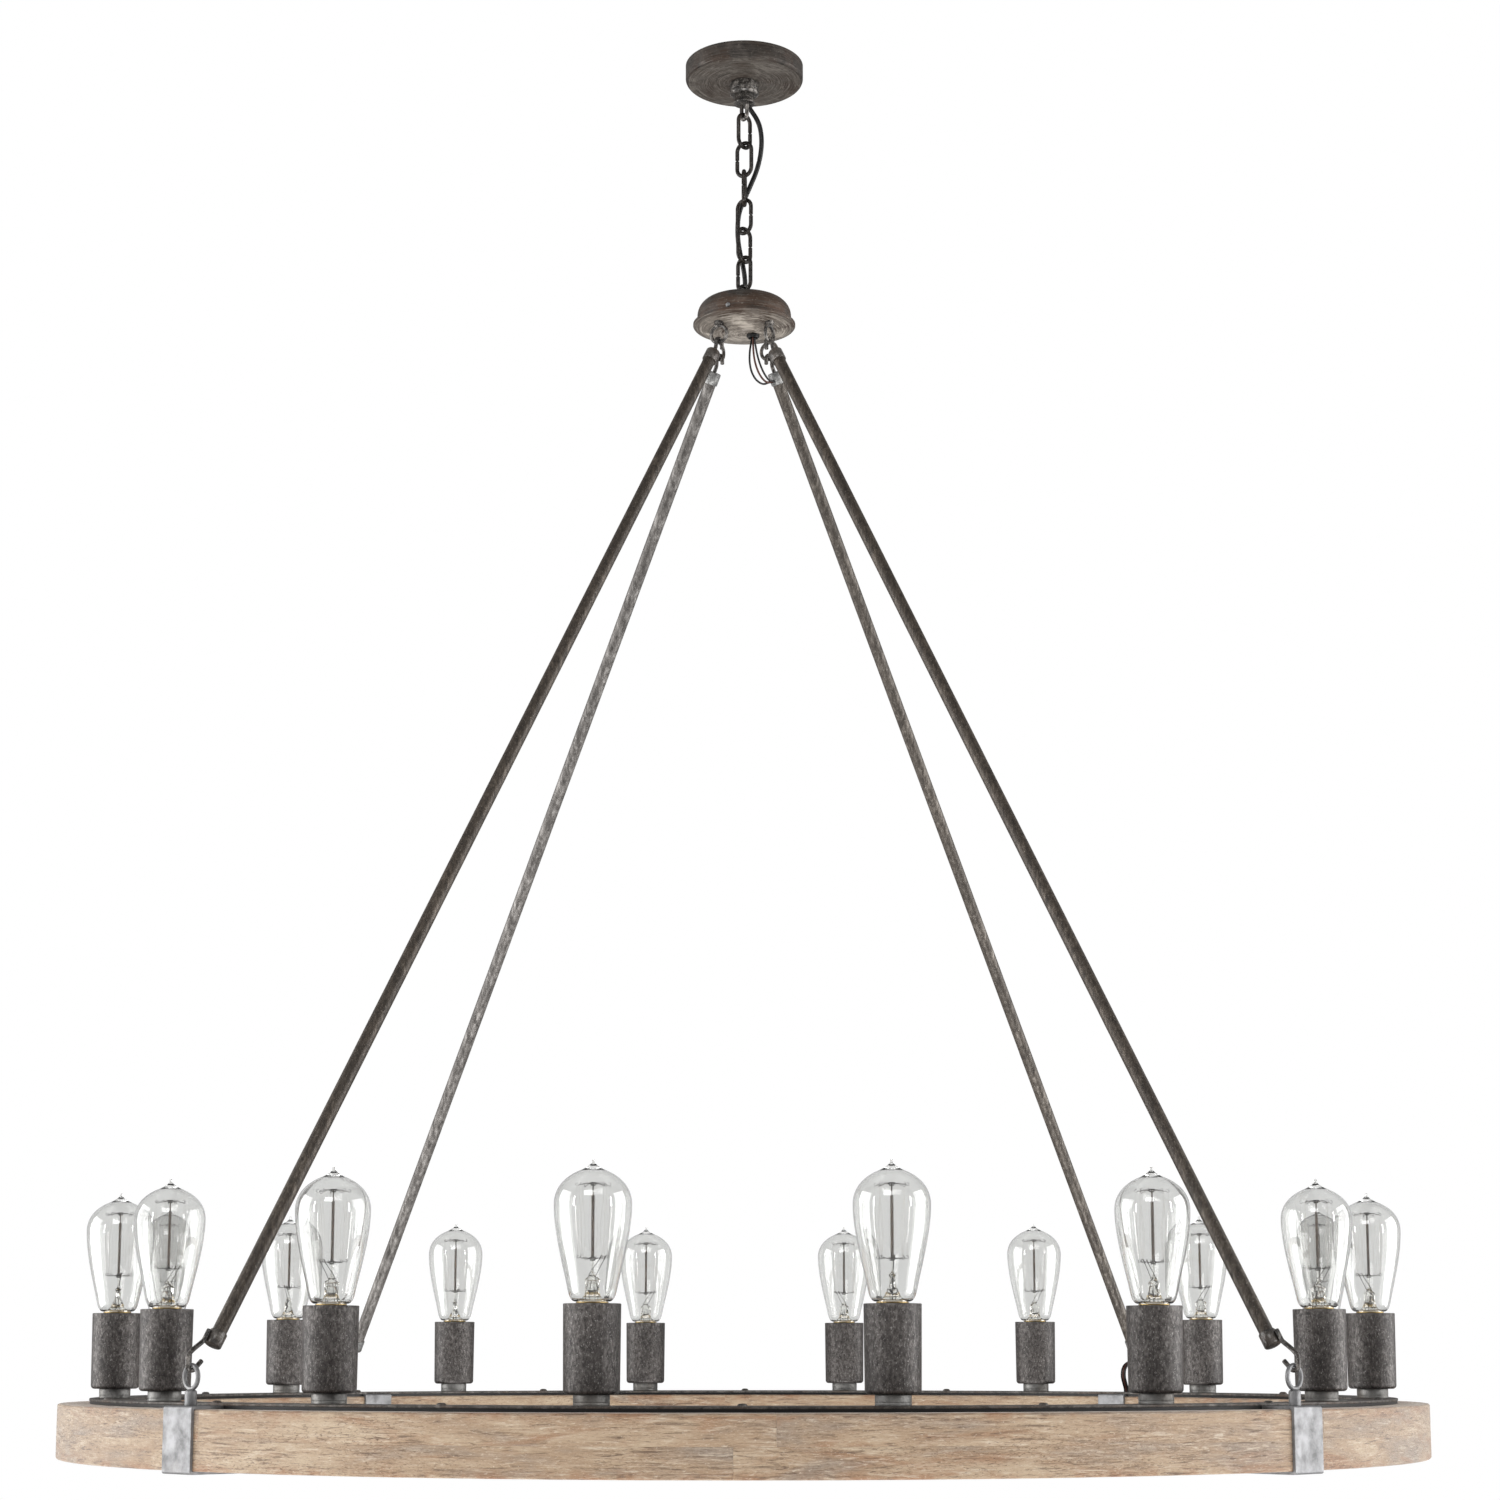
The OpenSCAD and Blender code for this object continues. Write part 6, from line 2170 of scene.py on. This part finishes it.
@dataclass
class Studio:
    """Pale floor, soft lamps, white surroundings and the photograph's camera."""

    floor_height: float = -4.6
    camera_place: Spot = (0.0062, -3.0, -1.398)
    pitch: float = 8.8
    lens: float = 69.8
    shift: float = 0.107
    white: float = 1.0
    ambient: float = 0.36

    def build(self) -> None:
        """Builds the studio."""
        self._world()
        self._floor()
        self._lamps()
        self._camera()
        bpy.context.scene.view_settings.view_transform = "Standard"

    def _seen(self, nodes: bpy.types.Nodes, links: bpy.types.NodeLinks) -> Socket:
        """One where the camera looks at the surroundings, straight or through glass.

        Args:
            nodes: Nodes of the tree.
            links: Links of the tree.

        Returns:
            The socket that says so.
        """
        path = nodes.new("ShaderNodeLightPath")
        either = nodes.new("ShaderNodeMath")
        either.operation = "MAXIMUM"
        links.new(path.outputs["Is Camera Ray"], either.inputs[0])
        links.new(path.outputs["Is Transmission Ray"], either.inputs[1])
        return either.outputs[0]

    def _world(self) -> None:
        """Makes the surroundings white where seen and softer as light."""
        world = bpy.data.worlds.new("studio_world")
        world.use_nodes = True
        bpy.context.scene.world = world
        nodes, links = world.node_tree.nodes, world.node_tree.links
        shade = nodes["Background"]
        strength = nodes.new("ShaderNodeMapRange")
        strength.inputs["To Min"].default_value = self.ambient
        strength.inputs["To Max"].default_value = self.white
        links.new(self._seen(nodes, links), strength.inputs["Value"])
        links.new(strength.outputs["Result"], shade.inputs["Strength"])
        shade.inputs["Color"].default_value = (1.0, 1.0, 1.0, 1.0)

    def _floor(self) -> None:
        """Lays the pale floor, white where seen apart from the object's shadow."""
        half = 9.0
        mesh = bpy.data.meshes.new("floor")
        corners = [(x * half, y * half, self.floor_height) for x, y in ((-1, -1), (1, -1), (1, 1), (-1, 1))]
        mesh.from_pydata(corners, [], [(0, 1, 2, 3)])
        floor = bpy.data.objects.new("floor", mesh)
        bpy.context.scene.collection.objects.link(floor)
        s = Shader("pale_floor")
        s.set(Base_Color=s.ramp(s.noise(1.2, 2), [(0.3, 0.86), (0.7, 0.9)]), Roughness=0.8)
        s.set(Emission_Color=(1.0, 1.0, 1.0, 1.0))
        seen = self._seen(s.nodes, s.links)
        s.set(Emission_Strength=s.math("MULTIPLY", seen, 0.35))
        mesh.materials.append(s.material)

    def _lamps(self) -> None:
        """Hangs the soft lamps: tall at the sides, slim and low ones and a fill in front."""
        middle = Vector((0, 0, -1.0))
        for name, place_at, width, height, power in (
                ("left_wall", (-4.0, -0.2, -0.9), 3.4, 4.0, 190.0),
                ("right_wall", (4.0, -0.2, -0.9), 3.4, 4.0, 190.0),
                ("left_strip", (-2.9, -2.5, -0.6), 0.25, 1.3, 22.0),
                ("right_strip", (2.9, -2.5, -0.6), 0.25, 1.3, 22.0),
                ("low", (0.0, -2.2, -4.0), 3.0, 2.0, 115.0),
                ("fill", (-0.9, -4.6, 1.6), 2.2, 1.6, 60.0)):
            data = bpy.data.lights.new(name, "AREA")
            data.shape = "RECTANGLE"
            data.size = width
            data.size_y = height
            data.energy = power
            lamp = bpy.data.objects.new(name, data)
            lamp.location = place_at
            lamp.rotation_euler = (middle - Vector(place_at)).to_track_quat("-Z", "Y").to_euler()
            bpy.context.scene.collection.objects.link(lamp)

    def _camera(self) -> None:
        """Sets the camera where the photograph was taken from."""
        data = bpy.data.cameras.new("camera")
        data.lens = self.lens
        data.sensor_width = 36.0
        data.shift_y = self.shift
        camera = bpy.data.objects.new("camera", data)
        camera.location = self.camera_place
        camera.rotation_euler = (math.radians(90 + self.pitch), 0.0, 0.0)
        bpy.context.scene.collection.objects.link(camera)
        bpy.context.scene.camera = camera


def main() -> None:
    """Builds the chandelier and its studio."""
    logging.basicConfig(level=logging.INFO, format="%(name)s %(message)s")
    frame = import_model()
    sizes, finishes, pattern = Sizes(), Finishes(), RingPattern()
    Studio().build()
    for assembly in (Canopy, Chain, SupplyCord, Hub, Rods, Ring, Sockets, Lamps):
        assembly(sizes, finishes, pattern).build()
    HiddenParts(frame, finishes).dress()


if __name__ == "__main__":
    main()
